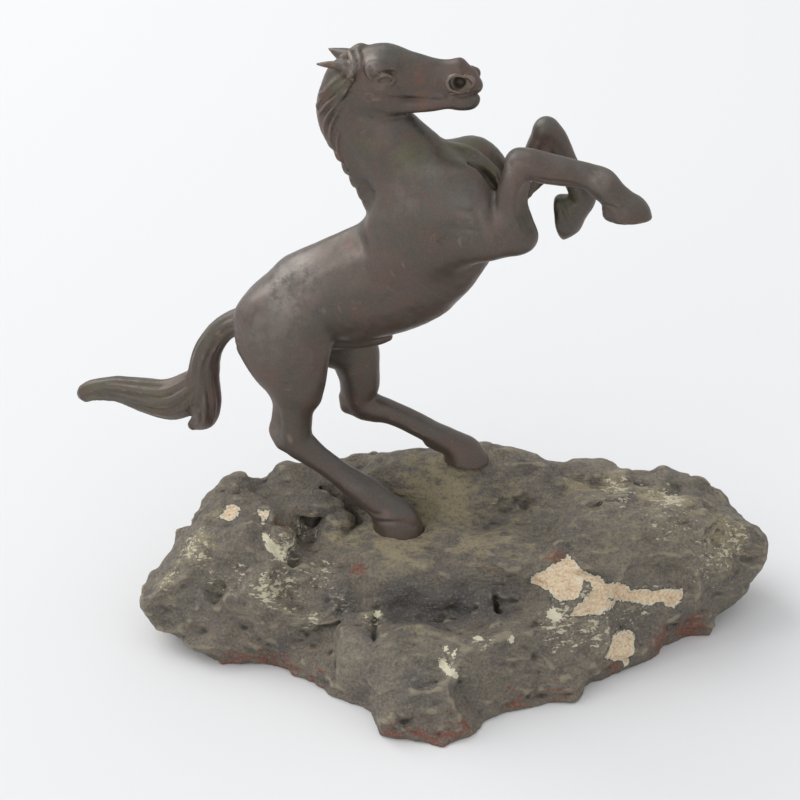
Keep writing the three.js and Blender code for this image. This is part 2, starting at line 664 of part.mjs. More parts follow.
function nearHindLeg(horse) {
  const y = -HIND_Y;
  horse.sweep([
    [-83.4, -11, 162.4, THIGH - 0.8, 0.7], [-75, -15, 152, THIGH, 0.62], [-70, -18, 139, 13.5, 0.75],
    [-69.5, y - 0.5, 126, 10.5, 0.8], [-70, y, 115, HOCK + 0.6, 0.82], [-70.5, y, 107, HOCK + 0.6, 0.8],
    [-68, y, 100, HOCK - 0.2, 0.8], [-60, y, 93.5, CANNON + 1.4, 0.88], [-47, y, 84.2, CANNON + 0.8, 0.95],
    [-38, y, 78.2, CANNON + 1.6], [-31, y, 74.2, FETLOCK + 0.9], [-24, y - 0.5, 69, FETLOCK + 0.4],
  ], 7);
  const backOfThigh = [[-90, -13, 152, 10, 0.9], [-83, -15.5, 140, 8.5, 0.8], [-75, y, 129, 5, 0.8]];
  const stifle = [
    [-66, -15, 158, 16, 0.7], [-58, -19, 155, 9, 0.8],
    [-61, -18, 140, 8.5, 0.8], [-62.2, y - 0.5, 129, 7, 0.8],
  ];
  const tendon = [[-77, y, 124, 3], [-79.5, y, 112, 3], [-80.5, y, 105, 3.8], [-77, y, 99, 4.2]];
  const ergot = [[-36, y, 70, 4], [-32.5, y, 68.5, 3.6]];
  const hoof = [
    [-25, -17.5, 69.4, 7.8, 0.92], [-20.5, -18, 65.6, 8.8, 0.92], [-16, -18, 60.4, 11.4, 0.9],
    [-14, -18, 55.5, 12.9, HOOF_FLAT], [-13, -18, 49, 13.3, HOOF_FLAT],
  ];
  horse.sweep(backOfThigh, 7);
  horse.sweep(stifle, 7);
  horse.sweep(tendon, 4);
  horse.sweep(ergot, 3);
  horse.hoof(hoof, NEAR_SOLE, NEAR_DOWN, 1.5, SOLE_SPARE);
}

function farHindLeg(horse) {
  const y = HIND_Y;
  horse.sweep([
    [-82, 11, 158, 18, 0.7], [-62, 15, 147, 17, 0.65], [-50, y, 138, 12.8, 0.75], [-45.3, y, 126, 10.6, 0.82],
    [-44.5, y, 115, HOCK + 0.8, 0.82], [-42.5, y, 108, HOCK + 0.2, 0.8], [-36, y, 105.8, 7.8, 0.85],
    [-27, y, 104.2, CANNON + 0.6, 0.95], [-13, y, 99, CANNON + 0.2], [-4, y, 95, CANNON + 0.3],
    [2, y + 0.5, 92.2, FETLOCK - 0.5], [8, y + 1, 89, CANNON + 0.6],
  ], 7);
  const stifle = [
    [-56, 15, 150, 13, 0.7], [-45, y + 0.5, 142, 10.5, 0.75], [-42, y, 132, 8.2, 0.8],
    [-41.5, y, 122, 7, 0.8],
  ];
  const hockPoint = [[-52, y, 110, 3.2, 0.9], [-51, y, 104.5, 4, 0.9]];
  const ergot = [[-5, y, 89.5, 3.3], [-1, y, 88, 3]];
  const hoof = [
    [5, 18, 89.6, 6.4, 0.95], [10, 18.5, 86.4, 8.4, 0.92],
    [13.4, 19, 82, 10.8, HOOF_FLAT], [15, 19, 76, 12.4, HOOF_FLAT],
  ];
  horse.sweep(stifle, 6);
  horse.sweep(hockPoint, 4);
  horse.sweep(ergot, 3);
  horse.hoof(hoof, FAR_SOLE, FAR_DOWN, 1.5, SOLE_SPARE);
}

// A lock of tail hair: a core with strands laid round it.
function tailLock(horse, stations) {
  horse.sweep(stations.map(([x, y, z, r, flat]) => [x, y, z, 0.86 * r, flat]), 4);
  const last = stations.length - 1;
  for (let s = 0; s < TAIL_STRANDS; s++) {
    horse.sweep(stations.map(([x, y, z, r, flat], i) => {
      const before = stations[Math.max(i - 1, 0)];
      const after = stations[Math.min(i + 1, last)];
      const run = [after[0] - before[0], after[2] - before[2]];
      const length = Math.hypot(...run);
      const angle = (2 * Math.PI * s) / TAIL_STRANDS + (1.2 * i) / (last + 1);
      const out = 0.7 * r * Math.cos(angle);
      const aside = 0.7 * r * flat * Math.sin(angle);
      return [x - (run[1] / length) * out, y + aside, z + (run[0] / length) * out, 0.34 * r, 1];
    }), 1.2);
  }
}

function tail(horse) {
  const dock = [
    [-95, 0, 161, 8, 1], [-107, 0, 156, 6.9, 1], [-115, 0, 149, 6.6, 1], [-121.5, 0, 138, 7.2, 1],
    [-124.5, 0, 125, 8.2, 0.9], [-124.5, 0, 108, 8.6, 0.9],
    [-126, 0, 96.5, 6.5, 0.8], [-133, 0, 90.5, 2.4, 0.8],
  ];
  const flick = [
    [-122, 0, 126, 5, 0.9], [-129, 0, 115, 10, 0.75],
    [-143.5, 0, 105.6, 11.3, 0.72], [-159, 0, 105.8, 9.4, 0.75],
    [-174.5, 0, 107.2, 7.3, 0.8], [-187.5, 0, 105.3, 6, 0.8], [-194.3, 0, 102, 5.1, 0.8],
  ];
  tailLock(horse, dock);
  tailLock(horse, flick);
}

function buildHorse() {
  const horse = new Clay([-206, -40, 40], [114, 40, 322], HORSE_CELL);
  const parts = [trunk, neck, breast, head, mane, nearForeleg, farForeleg, nearHindLeg, farHindLeg, tail];
  parts.forEach(part => part(horse));
  let solid = solidFrom(facet(skin(horse), HORSE_FACES));
  for (const [sole, down] of [[NEAR_SOLE, NEAR_DOWN], [FAR_SOLE, FAR_DOWN]]) {
    const below = new THREE.BoxGeometry(...SOLE_CUT).translate(0, 0, -SOLE_CUT[2] / 2);
    solid = solid.subtract(solidOf(standAt(below, sole, down)));
  }
  return geometryOf(solid);
}

// Ground outline of the rock, anticlockwise from its left end, seen from above.
const GROUND = [
  [-93, -33], [-68, -34], [-57, -39], [-41, -52], [-24, -67], [-15, -73], [-11.5, -92], [5, -97.5],
  [20, -98.5], [34, -91], [45, -77], [66, -69], [86, -62], [103, -49], [120, -34], [134, -26],
  [139, -17], [166, -11], [172, 3], [168, 22], [150, 38], [100, 50], [40, 54], [-30, 52], [-80, 38],
  [-112, 16], [-110, -10],
];

// Lumps of the rock: centre, half-sizes, blend, turn about Z and tilt along the length, in degrees.
const LUMPS = [
  { at: [25, 12, 28], half: [106, 42, 27], blend: 12 },
  { at: [30, 50, 52], half: [64, 22, 27.5], blend: 12 },
  { at: [-2, 12, 40], half: [26, 20, 17], blend: 8 },
  { at: [37, 43, 58], half: [22, 18, 22], blend: 6 },
  { at: [67, 51, 62], half: [17, 15, 15.5], blend: 6 },
  { at: [-20, 46, 48], half: [50, 18, 24], blend: 10 },
  { at: [-48, 44, 48], half: [30, 18, 23], blend: 8 },
  { at: [-62, 42, 50], half: [16, 16, 21.5], blend: 5 },
  { at: [112, 22, 34], half: [62, 44, 34], blend: 12, turn: -6, tilt: 6 },
  { at: [92, 50, 44], half: [44, 16, 24], blend: 8, turn: -4, tilt: 6 },
  { at: [138, 50, 42], half: [40, 16, 22], blend: 8, turn: -4, tilt: 6 },
  { at: [158, 30, 28], half: [36, 32, 27], blend: 10, turn: -12, tilt: 10 },
  { at: [172, 20, 22], half: [22, 24, 18], blend: 8, turn: -20, tilt: 12 },
  { at: [177, 26, 39], half: [17, 20, 14.5], blend: 6, turn: -10 },
  { at: [60, -8, 28], half: [70, 30, 26], blend: 12, turn: -6 },
  { at: [100, -12, 24], half: [60, 30, 24], blend: 12, turn: 20 },
  { at: [20, -62, 14], half: [34, 28, 17], blend: 10, turn: 10 },
  { at: [-4, -44, 20], half: [26, 24, 14], blend: 8, turn: -40 },
  { at: [62, -46, 16], half: [44, 24, 17], blend: 10, turn: 18 },
  { at: [-78, 14, 40], half: [32, 32, 28], blend: 9, turn: 20 },
  { at: [-86, 34, 52], half: [15.5, 18, 18], blend: 6, turn: 10 },
  { at: [-98, 14, 36], half: [22, 26, 22], blend: 8, turn: 60 },
  { at: [-104, -2, 22], half: [32, 26, 20], blend: 9, turn: 30 },
  { at: [-98, -10, 12], half: [22, 21, 16], blend: 8 },
  { at: [-116, 2, 18], half: [19, 16, 13], blend: 7, turn: 10, tilt: -10 },
  { at: [-111, 7, 33], half: [17, 20, 18], blend: 6, turn: 30 },
  { at: [-56, -8, 26], half: [40, 26, 26], blend: 9 },
  { at: [-62, 14, 46], half: [11, 12, 13], blend: 4 },
  { at: [-34, 10, 38], half: [18, 18, 17], blend: 7, turn: -30 },
];

// What is hollowed out: the bay in the front, a hole, the cleft behind and the lip's fold.
const HOLLOWS = [
  { at: [16, -36, 46], half: [54, 13, 16], blend: 9, turn: 8 },
  { at: [50, -28, 36], half: [3.2, 7, 11], blend: 3, turn: 10 },
  { at: [-75, 44, 72], half: [2.4, 20, 8], blend: 3 },
  { at: [8, -66, 34], half: [30, 4, 6], blend: 6, turn: -12 },
];

// Smaller stones set on the lumps, and pockets cut into them.
const STONES = [
  { at: [-64, -1, 55], half: [11, 8, 9.5], blend: 1.2, turn: 25 },
  { at: [-34, 20, 50], half: [12, 12, 12], blend: 2, turn: 10 },
  { at: [6, -50, 21], half: [23, 21, 13.5], blend: 3, turn: -25 },
  { at: [-84, 22, 60], half: [16, 12, 7], blend: 1.5, turn: 10 },
  { at: [-50, 28, 60], half: [22, 11, 7], blend: 1.5, turn: -10 },
  { at: [103, 52, 62], half: [18, 13, 8.5], blend: 1.2 },
  { at: [160, 44, 56], half: [17, 12, 8.5], blend: 1.2, turn: -10, tilt: 10 },
  { at: [150, 16, 54], half: [20, 16, 8], blend: 2, turn: -20, tilt: 12 },
  { at: [128, -14, 36], half: [30, 10, 7], blend: 3, turn: 8 },
  { at: [70, -50, 28], half: [26, 10, 7], blend: 3, turn: 14 },
  { at: [-78, -24, 30], half: [18, 8, 12], blend: 4, turn: -12, tilt: 20 },
];
const POCKETS = [
  { at: [-50, 9, 54], half: [4, 7, 7.5], blend: 2, turn: -15 },
  { at: [-55, -9, 50], half: [3.5, 5, 6], blend: 1.5, turn: -20 },
  { at: [-13, -42, 35], half: [2.4, 16, 9], blend: 2.5 },
  { at: [14, -31, 33], half: [28, 3, 4.5], blend: 2.5, turn: 6 },
  { at: [10, -82, 27], half: [14, 3, 3.4], blend: 1.5, turn: -8 },
  { at: [106, -22, 50], half: [17, 3, 3], blend: 1.5, turn: 4 },
  { at: [-76, 4, 68], half: [13, 3, 4], blend: 2, turn: -14 },
  { at: [134, 54, 71], half: [12, 24, 9], blend: 1.5 },
];

// Flat faces that the modeller's knife left: a place on each, the way it looks, and its reach.
const FACETS = [
  { at: [-115, 0, 47], way: [-0.71, -0.06, 0.7], reach: 26 },
  { at: [-95, -28, 26], way: [-0.31, -0.86, 0.41], reach: 30 },
  { at: [-62, -32, 30], way: [0.05, -0.93, 0.36], reach: 18 },
  { at: [6, -66, 29], way: [0.06, -0.26, 0.96], reach: 18 },
  { at: [14, -88, 18], way: [0.1, -0.9, 0.42], reach: 16 },
  { at: [50, -66, 20], way: [0.35, -0.8, 0.48], reach: 22 },
  { at: [88, -44, 32], way: [0.28, -0.78, 0.55], reach: 20 },
  { at: [104, 10, 66.5], way: [0.02, -0.08, 1], reach: 24 },
  { at: [132, -22, 30], way: [0.3, -0.85, 0.43], reach: 22 },
  { at: [170, 4, 44], way: [0.66, -0.58, 0.48], reach: 16 },
  { at: [168, 32, 58], way: [0.38, 0.1, 0.92], reach: 16 },
  { at: [-44, -20, 41], way: [-0.1, -0.8, 0.6], reach: 14 },
  { at: [60, 6, 58], way: [0.05, -0.1, 1], reach: 22 },
  { at: [-90, 18, 64], way: [-0.3, -0.25, 0.92], reach: 13 },
];

// Rolling unevenness of the surface: wave directions in radians per millimetre, and phases.
const WAVES = [
  { way: [0.09, 0.05, 0.11], phase: 0.4 },
  { way: [-0.07, 0.13, 0.06], phase: 1.9 },
  { way: [0.15, -0.1, 0.09], phase: 3.1 },
  { way: [0.05, 0.17, -0.14], phase: 5 },
  { way: [0.21, 0.12, 0.16], phase: 0.7 },
  { way: [-0.19, 0.2, 0.13], phase: 2.2 },
];

function outlineDistance(x, y) {
  let nearest = Infinity;
  let inside = false;
  GROUND.forEach((a, i) => {
    const b = GROUND[(i + 1) % GROUND.length];
    const edge = [b[0] - a[0], b[1] - a[1]];
    const t = ((x - a[0]) * edge[0] + (y - a[1]) * edge[1]) / (edge[0] ** 2 + edge[1] ** 2);
    const s = Math.min(Math.max(t, 0), 1);
    nearest = Math.min(nearest, Math.hypot(x - a[0] - s * edge[0], y - a[1] - s * edge[1]));
    const crosses = a[1] <= y !== b[1] <= y;
    if (crosses && x < a[0] + ((y - a[1]) / edge[1]) * edge[0]) inside = !inside;
  });
  return inside ? -nearest : nearest;
}

function lumpDistance({ at, half, turn = 0, tilt = 0 }) {
  const [ct, st] = [Math.cos(THREE.MathUtils.degToRad(turn)), Math.sin(THREE.MathUtils.degToRad(turn))];
  const [cl, sl] = [Math.cos(THREE.MathUtils.degToRad(tilt)), Math.sin(THREE.MathUtils.degToRad(tilt))];
  return (x, y, z) => {
    const along = (x - at[0]) * ct + (y - at[1]) * st;
    const across = -(x - at[0]) * st + (y - at[1]) * ct;
    const place = [along * cl + (z - at[2]) * sl, across, -along * sl + (z - at[2]) * cl];
    const scaled = Math.hypot(...place.map((v, i) => v / half[i]));
    const steep = Math.hypot(...place.map((v, i) => v / half[i] ** 2));
    return (scaled * (scaled - 1)) / Math.max(steep, 1e-6);
  };
}

function waveHeight(x, y, z) {
  const wx = x + 6 * Math.sin(0.05 * y + 0.8);
  const wy = y + 6 * Math.sin(0.045 * x + 2);
  return WAVES.reduce((sum, { way, phase }) => {
    const angle = way[0] * wx + way[1] * wy + way[2] * z + phase;
    return sum + (0.14 * Math.sin(angle)) / Math.hypot(...way);
  }, 0);
}

// Adds lumps to the rock, or cuts hollows out of it.
function pile(rock, shapes, action) {
  for (const shape of shapes) {
    const reach = Math.max(...shape.half) + shape.blend + ROCK_CELL;
    const from = shape.at.map(v => v - reach);
    const to = shape.at.map(v => v + reach);
    rock[action](from, to, shape.blend, lumpDistance(shape));
  }
}

// Cuts a flat face on the rock, which runs out beyond its reach.
function shave(rock, { at, way, reach }) {
  const normal = unit(way);
  const from = at.map(v => v - FACET_SPAN * reach);
  const to = at.map(v => v + FACET_SPAN * reach);
  rock.each(from, to, (old, x, y, z) => {
    const [px, py, pz] = [x - at[0], y - at[1], z - at[2]];
    const above = px * normal[0] + py * normal[1] + pz * normal[2];
    const beyond = Math.max(Math.hypot(px, py, pz) - reach, 0);
    return smoothMax(old, above - FACET_LIFT * beyond, FACET_EDGE);
  });
}

function buildRock() {
  const low = [-146, -110, -9];
  const high = [208, 76, 92];
  const rock = new Clay(low, high, ROCK_CELL);
  rock.each(low, high, (old, x, y, z) => {
    const edge = outlineDistance(x, y);
    const top = LIP_HEIGHT + Math.min(Math.max(-edge, 0), LEDGE_REACH) * LEDGE_SLOPE;
    const side = edge + 0.12 * Math.max(z - 8, 0) - 0.06 * Math.max(8 - z, 0);
    return smoothMax(side, z - top, LEDGE_EDGE);
  });
  pile(rock, LUMPS, 'join');
  pile(rock, HOLLOWS, 'carve');
  rock.each(low, high, (old, x, y, z) => old + WAVE_DEPTH * waveHeight(x, y, z));
  pile(rock, STONES, 'join');
  pile(rock, POCKETS, 'carve');
  FACETS.forEach(facetCut => shave(rock, facetCut));
  rock.each(low, high, (old, x, y, z) => Math.max(old, UNDERSIDE - z));
  let solid = solidFrom(facet(skin(rock), ROCK_FACES));
  const floor = new THREE.BoxGeometry(...FLOOR).translate(0, 0, -FLOOR[2] / 2);
  solid = solid.subtract(solidOf(floor));
  for (const [sole, down, room] of [[NEAR_SOLE, NEAR_DOWN, NEAR_ROOM], [FAR_SOLE, FAR_DOWN, FAR_ROOM]]) {
    const radius = HOOF_SOLE + room;
    const seat = new THREE.CylinderGeometry(radius, radius, SEAT_HEIGHT, SEAT_SIDES).rotateX(Math.PI / 2);
    seat.scale(1, HOOF_FLAT, 1).translate(0, 0, SEAT_HEIGHT / 2 - SEAT_GAP);
    const placed = standAt(seat, sole, down).rotateZ(HORSE_YAW).translate(...HORSE_AT);
    solid = solid.subtract(solidOf(placed));
  }
  return geometryOf(solid);
}

const horse = new THREE.Mesh(buildHorse(), BRONZE);
horse.name = 'horse';
horse.rotation.z = HORSE_YAW;
horse.position.set(...HORSE_AT);

const rockBase = new THREE.Mesh(buildRock(), STONE);
rockBase.name = 'rock_base';

const figurine = new THREE.Group();
figurine.add(horse, rockBase);
figurine.position.set(-MIDDLE[0], -MIDDLE[1], 0);

export default figurine;
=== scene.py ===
# Bronze horse figurine: a rearing horse of dark patinated bronze on a rough painted rock
# plinth. The scene is in metres; the modelling clay works in millimetres.
import math

import bmesh
import bpy
import numpy as np
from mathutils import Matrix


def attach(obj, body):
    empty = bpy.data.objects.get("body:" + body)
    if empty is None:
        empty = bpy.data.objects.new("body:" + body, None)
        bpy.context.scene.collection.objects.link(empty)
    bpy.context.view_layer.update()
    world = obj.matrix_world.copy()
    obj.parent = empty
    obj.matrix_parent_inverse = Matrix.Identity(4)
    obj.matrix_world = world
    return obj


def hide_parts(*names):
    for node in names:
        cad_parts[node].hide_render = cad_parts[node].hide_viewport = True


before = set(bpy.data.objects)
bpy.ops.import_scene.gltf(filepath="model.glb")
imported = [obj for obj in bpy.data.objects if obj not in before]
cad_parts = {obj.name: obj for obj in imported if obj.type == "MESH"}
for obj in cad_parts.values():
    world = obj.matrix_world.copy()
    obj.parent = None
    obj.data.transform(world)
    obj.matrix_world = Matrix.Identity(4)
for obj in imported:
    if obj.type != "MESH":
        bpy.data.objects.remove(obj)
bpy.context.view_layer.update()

# Horse
# One bronze casting, patinated dark brown. It is modelled as in clay: flesh, hair and hooves
# are laid on in strokes along the limbs, then lines are drawn into the skin.
MM = 0.001
FAR_AWAY = 50.0
HORSE_YAW = math.radians(-14)
HORSE_AT = np.array([17.0, 26.0, 0.0])
MIDDLE = np.array([10.3, -10.9, 0.0])
HORSE_CELL = 0.65
HORSE_TRIANGLES = 194000
SLIVER = 0.01

BARREL = 26.4
PELVIS = 20
NECK_ROOT = 22.5
THROAT = 16
SKULL = 12
THIGH = 19.5
FOREARM = 8.8
KNEE = 6.8
HOCK = 9
CANNON = 6
FETLOCK = 7.2
HIND_Y = 17
FORE_Y = 17
HOOF_SOLE = 12.2
HOOF_FLAT = 0.87
HOOF_CUT = 1.45
NEAR_SOLE = np.array([-13.5, -18, 51.8])
NEAR_DOWN = np.array([0, -0.17, -1])
FAR_SOLE = np.array([16, 19, 79])
FAR_DOWN = np.array([0, 0, -1])
TAIL_STRANDS = 9
TAIL_TWIST = 1.2
TAIL_CORE = 0.9
STRAND_OUT = 0.7
STRAND_SHARE = 0.34
HAIR_SPREAD = 0.9
HAIR_WANDER = 0.3
HAIR_FADE = 0.35
HAIR_WIDTH = 0.65
HAIR_DEPTH = 0.8
CREST_CURLS = 7
CREST_TOP = (-54.8, 272)
CREST_RUN = (22.3, -38)
CREST_BULGE = 5
FOLD_REACH = 1.6
BAY_REACH = 8
SIDES = ("near", "far")
PINCH_ROUNDS = 6
PINCH_FILL = -0.05
BLUR_SHARE = 0.6


def smooth_min(a, b, blend):
    """The lesser of two distances, eased where they are close."""
    near = np.maximum(blend - np.abs(a - b), 0) / blend
    return np.minimum(a, b) - near * near * blend * 0.25


def smooth_max(a, b, blend):
    """The greater of two distances, eased where they are close."""
    return -smooth_min(-a, -b, blend)


def unit(v):
    """The direction of v, with a length of one."""
    return np.asarray(v, float) / np.linalg.norm(v)


def smooth_path(stations, steps=6):
    """A smooth curve through the rows of stations, whatever their columns stand for."""
    rows = np.array(stations, float)
    if len(rows) < 3:
        return rows
    padded = np.vstack([rows[:1], rows, rows[-1:]])
    t = (np.arange(steps) / steps)[:, None]
    path = []
    for a, b, c, d in zip(padded, padded[1:], padded[2:], padded[3:]):
        bend = 2 * a - 5 * b + 4 * c - d
        path.append(0.5 * (2 * b + (c - a) * t + bend * t**2 + (3 * b - a - 3 * c + d) * t**3))
    return np.vstack(path + [rows[-1:]])


def from_line(x, y, z, a, b):
    """The share of the way from a to b at which it passes nearest to a place, and the steps in
    x, y and z from there to the place."""
    axis = b[:3] - a[:3]
    square = max(axis @ axis, 1e-9)
    px, py, pz = x - a[0], y - a[1], z - a[2]
    t = np.clip((px * axis[0] + py * axis[1] + pz * axis[2]) / square, 0, 1)
    return t, px - t * axis[0], py - t * axis[1], pz - t * axis[2]


def from_plane(x, y, z, at, way):
    """Height over a plane that looks a given way, and distance from its middle, squared."""
    px, py, pz = x - at[0], y - at[1], z - at[2]
    return px * way[0] + py * way[1] + pz * way[2], px**2 + py**2 + pz**2


def cone_distance(x, y, z, a, b, side):
    """Distance to a cone with round ends; a and b hold x, y, z, radius and sideways flatness."""
    t, vx, vy, vz = from_line(x, y, z, a, b)
    radius = a[3] + (b[3] - a[3]) * t
    whole = vx * vx + vy * vy + vz * vz
    flat = (a[4] + b[4]) / 2
    if flat == 1:
        return np.sqrt(whole) - radius
    lateral = (vx * side[0] + vy * side[1] + vz * side[2]) ** 2
    rest = np.maximum(whole - lateral, 0)
    scaled = np.sqrt(lateral / flat**2 + rest + 1e-9)
    steep = np.sqrt(lateral / flat**4 + rest + 1e-9)
    return scaled * (scaled - radius) / steep


class Clay:
    """A body as a field of distances in millimetres on a grid, negative inside."""

    def __init__(self, low, high, cell):
        self.low = np.array(low, float)
        self.cell = cell
        self.count = np.ceil((np.array(high) - self.low) / cell).astype(int) + 1
        self.values = np.full(self.count, FAR_AWAY, np.float32)

    def block(self, low, high):
        """The part of the grid between two corners, and its x, y and z."""
        first = np.clip(np.floor((low - self.low) / self.cell), 0, self.count - 1).astype(int)
        last = np.clip(np.ceil((high - self.low) / self.cell) + 1, first + 1, self.count).astype(int)
        part = tuple(slice(a, b) for a, b in zip(first, last))
        places = [self.low[i] + self.cell * np.arange(first[i], last[i]) for i in range(3)]
        return part, np.ix_(*[place.astype(np.float32) for place in places])

    def along(self, path, reach, worth, start):
        """The least of start and worth(x, y, z, a, b) for each piece a to b of a path."""
        round_it = path[:, 3] * np.maximum(path[:, 4], 1) + reach
        wide = np.maximum(round_it[:-1], round_it[1:])[:, None]
        lows = np.minimum(path[:-1, :3], path[1:, :3]) - wide
        highs = np.maximum(path[:-1, :3], path[1:, :3]) + wide
        part, _ = self.block(lows.min(0), highs.max(0))
        found = np.full([s.stop - s.start for s in part], start, np.float32)
        for a, b, low, high in zip(path, path[1:], lows, highs):
            inner, (x, y, z) = self.block(low, high)
            local = tuple(slice(i.start - p.start, i.stop - p.start) for i, p in zip(inner, part))
            found[local] = np.minimum(found[local], worth(x, y, z, a, b))
        return part, found

    def roll(self, path, blend, side=(0, 1, 0), hollow=False):
        """Lays on, or cuts out, a roll of clay along rows of x, y, z, radius and flatness."""
        way = unit(side)
        part, distance = self.along(
            path, blend + 2, lambda x, y, z, a, b: cone_distance(x, y, z, a, b, way), FAR_AWAY
        )
        self.merge(part, distance, blend, hollow)

    def merge(self, part, distance, blend, hollow):
        """Adds a shape to a part of the clay, or cuts it out."""
        if hollow:
            self.values[part] = smooth_max(self.values[part], -distance, blend)
        else:
            self.values[part] = smooth_min(self.values[part], distance, blend)

    def stroke(self, stations, blend, side=(0, 1, 0), hollow=False):
        """A roll along a smooth curve through stations; a station without flatness is round."""
        self.roll(smooth_path([(*station, 1)[:5] for station in stations]), blend, side, hollow)

    def pair(self, stations, blend, hollow=False):
        """The same stroke on both sides of the horse."""
        self.stroke(stations, blend, hollow=hollow)
        self.stroke([(s[0], -s[1], *s[2:]) for s in stations], blend, hollow=hollow)

    def hoof(self, stations, sole, down, blend=2.5, rim=0.8):
        """A hoof laid on through stations, and cut flat by the plane of its sole."""
        sole, normal = np.array(sole, float), unit(down)
        self.stroke(stations, blend)
        reach = HOOF_CUT * HOOF_SOLE
        part, (x, y, z) = self.block(sole - reach, sole + reach)
        below, apart = from_plane(x, y, z, sole, normal)
        cut = smooth_max(self.values[part], below, rim)
        self.values[part] = np.where(apart < reach**2, cut, self.values[part])

    def on_skin(self, drawn, view):
        """Brings a line drawn on the near or the far view onto the skin there. The drawn rows
        hold x, z and a strength."""
        field = np.moveaxis(self.values, 1, 2)
        if view == "far":
            field = field[:, :, ::-1]
        set_down = []
        for x, z, strength in smooth_path(drawn):
            at = (np.array([x, z]) - self.low[[0, 2]]) / self.cell
            i, j = at.astype(int)
            u, v = at - (i, j)
            column = (
                (1 - u) * (1 - v) * field[i, j] + u * (1 - v) * field[i + 1, j]
                + (1 - u) * v * field[i, j + 1] + u * v * field[i + 1, j + 1]
            )
            hits = np.flatnonzero(column < 0)
            if len(hits) == 0:
                continue
            k = hits[0]
            depth = k - column[k] / (column[k] - column[k - 1])
            if view == "far":
                depth = len(column) - 1 - depth
            set_down.append([x, self.low[1] + depth * self.cell, z, 0, 1, strength])
        return np.array(set_down)

    def line(self, drawn, view, width, depth):
        """A groove drawn into the skin, or a ridge where depth is negative. It fades where
        the drawn strength does."""
        path = self.on_skin(drawn, view)
        if len(path) > 1:
            self.score(path, width, depth)

    def score(self, path, width, depth):
        """The same along a path whose rows hold x, y, z, radius, flatness and strength."""

        def strength(x, y, z, a, b):
            t, vx, vy, vz = from_line(x, y, z, a, b)
            apart = vx**2 + vy**2 + vz**2
            return -(a[5] + (b[5] - a[5]) * t) * np.exp(-apart / width**2)

        part, found = self.along(path, 3 * width, strength, 0)
        self.values[part] -= depth * found

    def lay(self, drawn, view, blend):
        """A thin roll laid on the skin along a line drawn on a view, whose rows hold x, z and
        a radius."""
        path = self.on_skin(drawn, view)
        path[:, 3] = np.maximum(path[:, 5], 0.1)
        self.roll(path, blend)

    def hair(self, stations, count):
        """Fine grooves drawn along a lock of hair that follows stations, on both sides."""
        rows = np.array(stations, float)
        run = np.gradient(rows[:, [0, 2]], axis=0)
        run /= np.linalg.norm(run, axis=1)[:, None]
        steps = np.arange(len(rows))
        for i in range(count):
            share = 2 * HAIR_SPREAD * i / (count - 1) - HAIR_SPREAD
            aside = share * rows[:, 3] + HAIR_WANDER * np.sin(1.7 * i + steps)
            strength = 1 - HAIR_FADE + HAIR_FADE * np.sin(2.3 * i + 1.1 * steps)
            across = rows[:, 0] - run[:, 1] * aside
            drawn = np.column_stack([across, rows[:, 2] + run[:, 0] * aside, strength])
            for view in SIDES:
                self.line(drawn, view, HAIR_WIDTH, HAIR_DEPTH)

    def noise(self, size, seed, stretch=(1, 1, 1)):
        """Soft random hills and dales about size wide, mostly between -1 and 1."""
        weights = []
        for axis in range(3):
            at = np.arange(self.count[axis]) * self.cell / (size * stretch[axis])
            base = at.astype(int)
            t = at - base
            weight = np.zeros((len(at), base[-1] + 4), np.float32)
            shares = ((1 - t) ** 3, 3 * t**3 - 6 * t**2 + 4, -3 * t**3 + 3 * t**2 + 3 * t + 1, t**3)
            for k, share in enumerate(shares):
                weight[np.arange(len(at)), base + k] = share / 6
            weights.append(weight)
        count = [weight.shape[1] for weight in weights]
        field = np.random.default_rng(seed).normal(size=count).astype(np.float32)
        for weight in weights:
            field = np.tensordot(field, weight, (0, 1))
        return field / field.std()

    def close_pinches(self):
        """Fills what touches only along an edge of the grid, so that no skin meets itself."""
        values = self.values
        for _ in range(PINCH_ROUNDS):
            filled = 0
            for p, q in ((0, 1), (1, 2), (2, 0)):
                corners = []
                for dp, dq in ((0, 0), (1, 0), (1, 1), (0, 1)):
                    index = [slice(None)] * 3
                    index[p] = slice(dp, dp - 1 or None)
                    index[q] = slice(dq, dq - 1 or None)
                    corners.append(values[tuple(index)])
                inside = [corner < 0 for corner in corners]
                crossed = (inside[0] == inside[2]) & (inside[1] == inside[3]) & (inside[0] != inside[1])
                filled += crossed.sum()
                corners[0][crossed & ~inside[0]] = PINCH_FILL * self.cell
                corners[1][crossed & ~inside[1]] = PINCH_FILL * self.cell
            if filled == 0:
                break

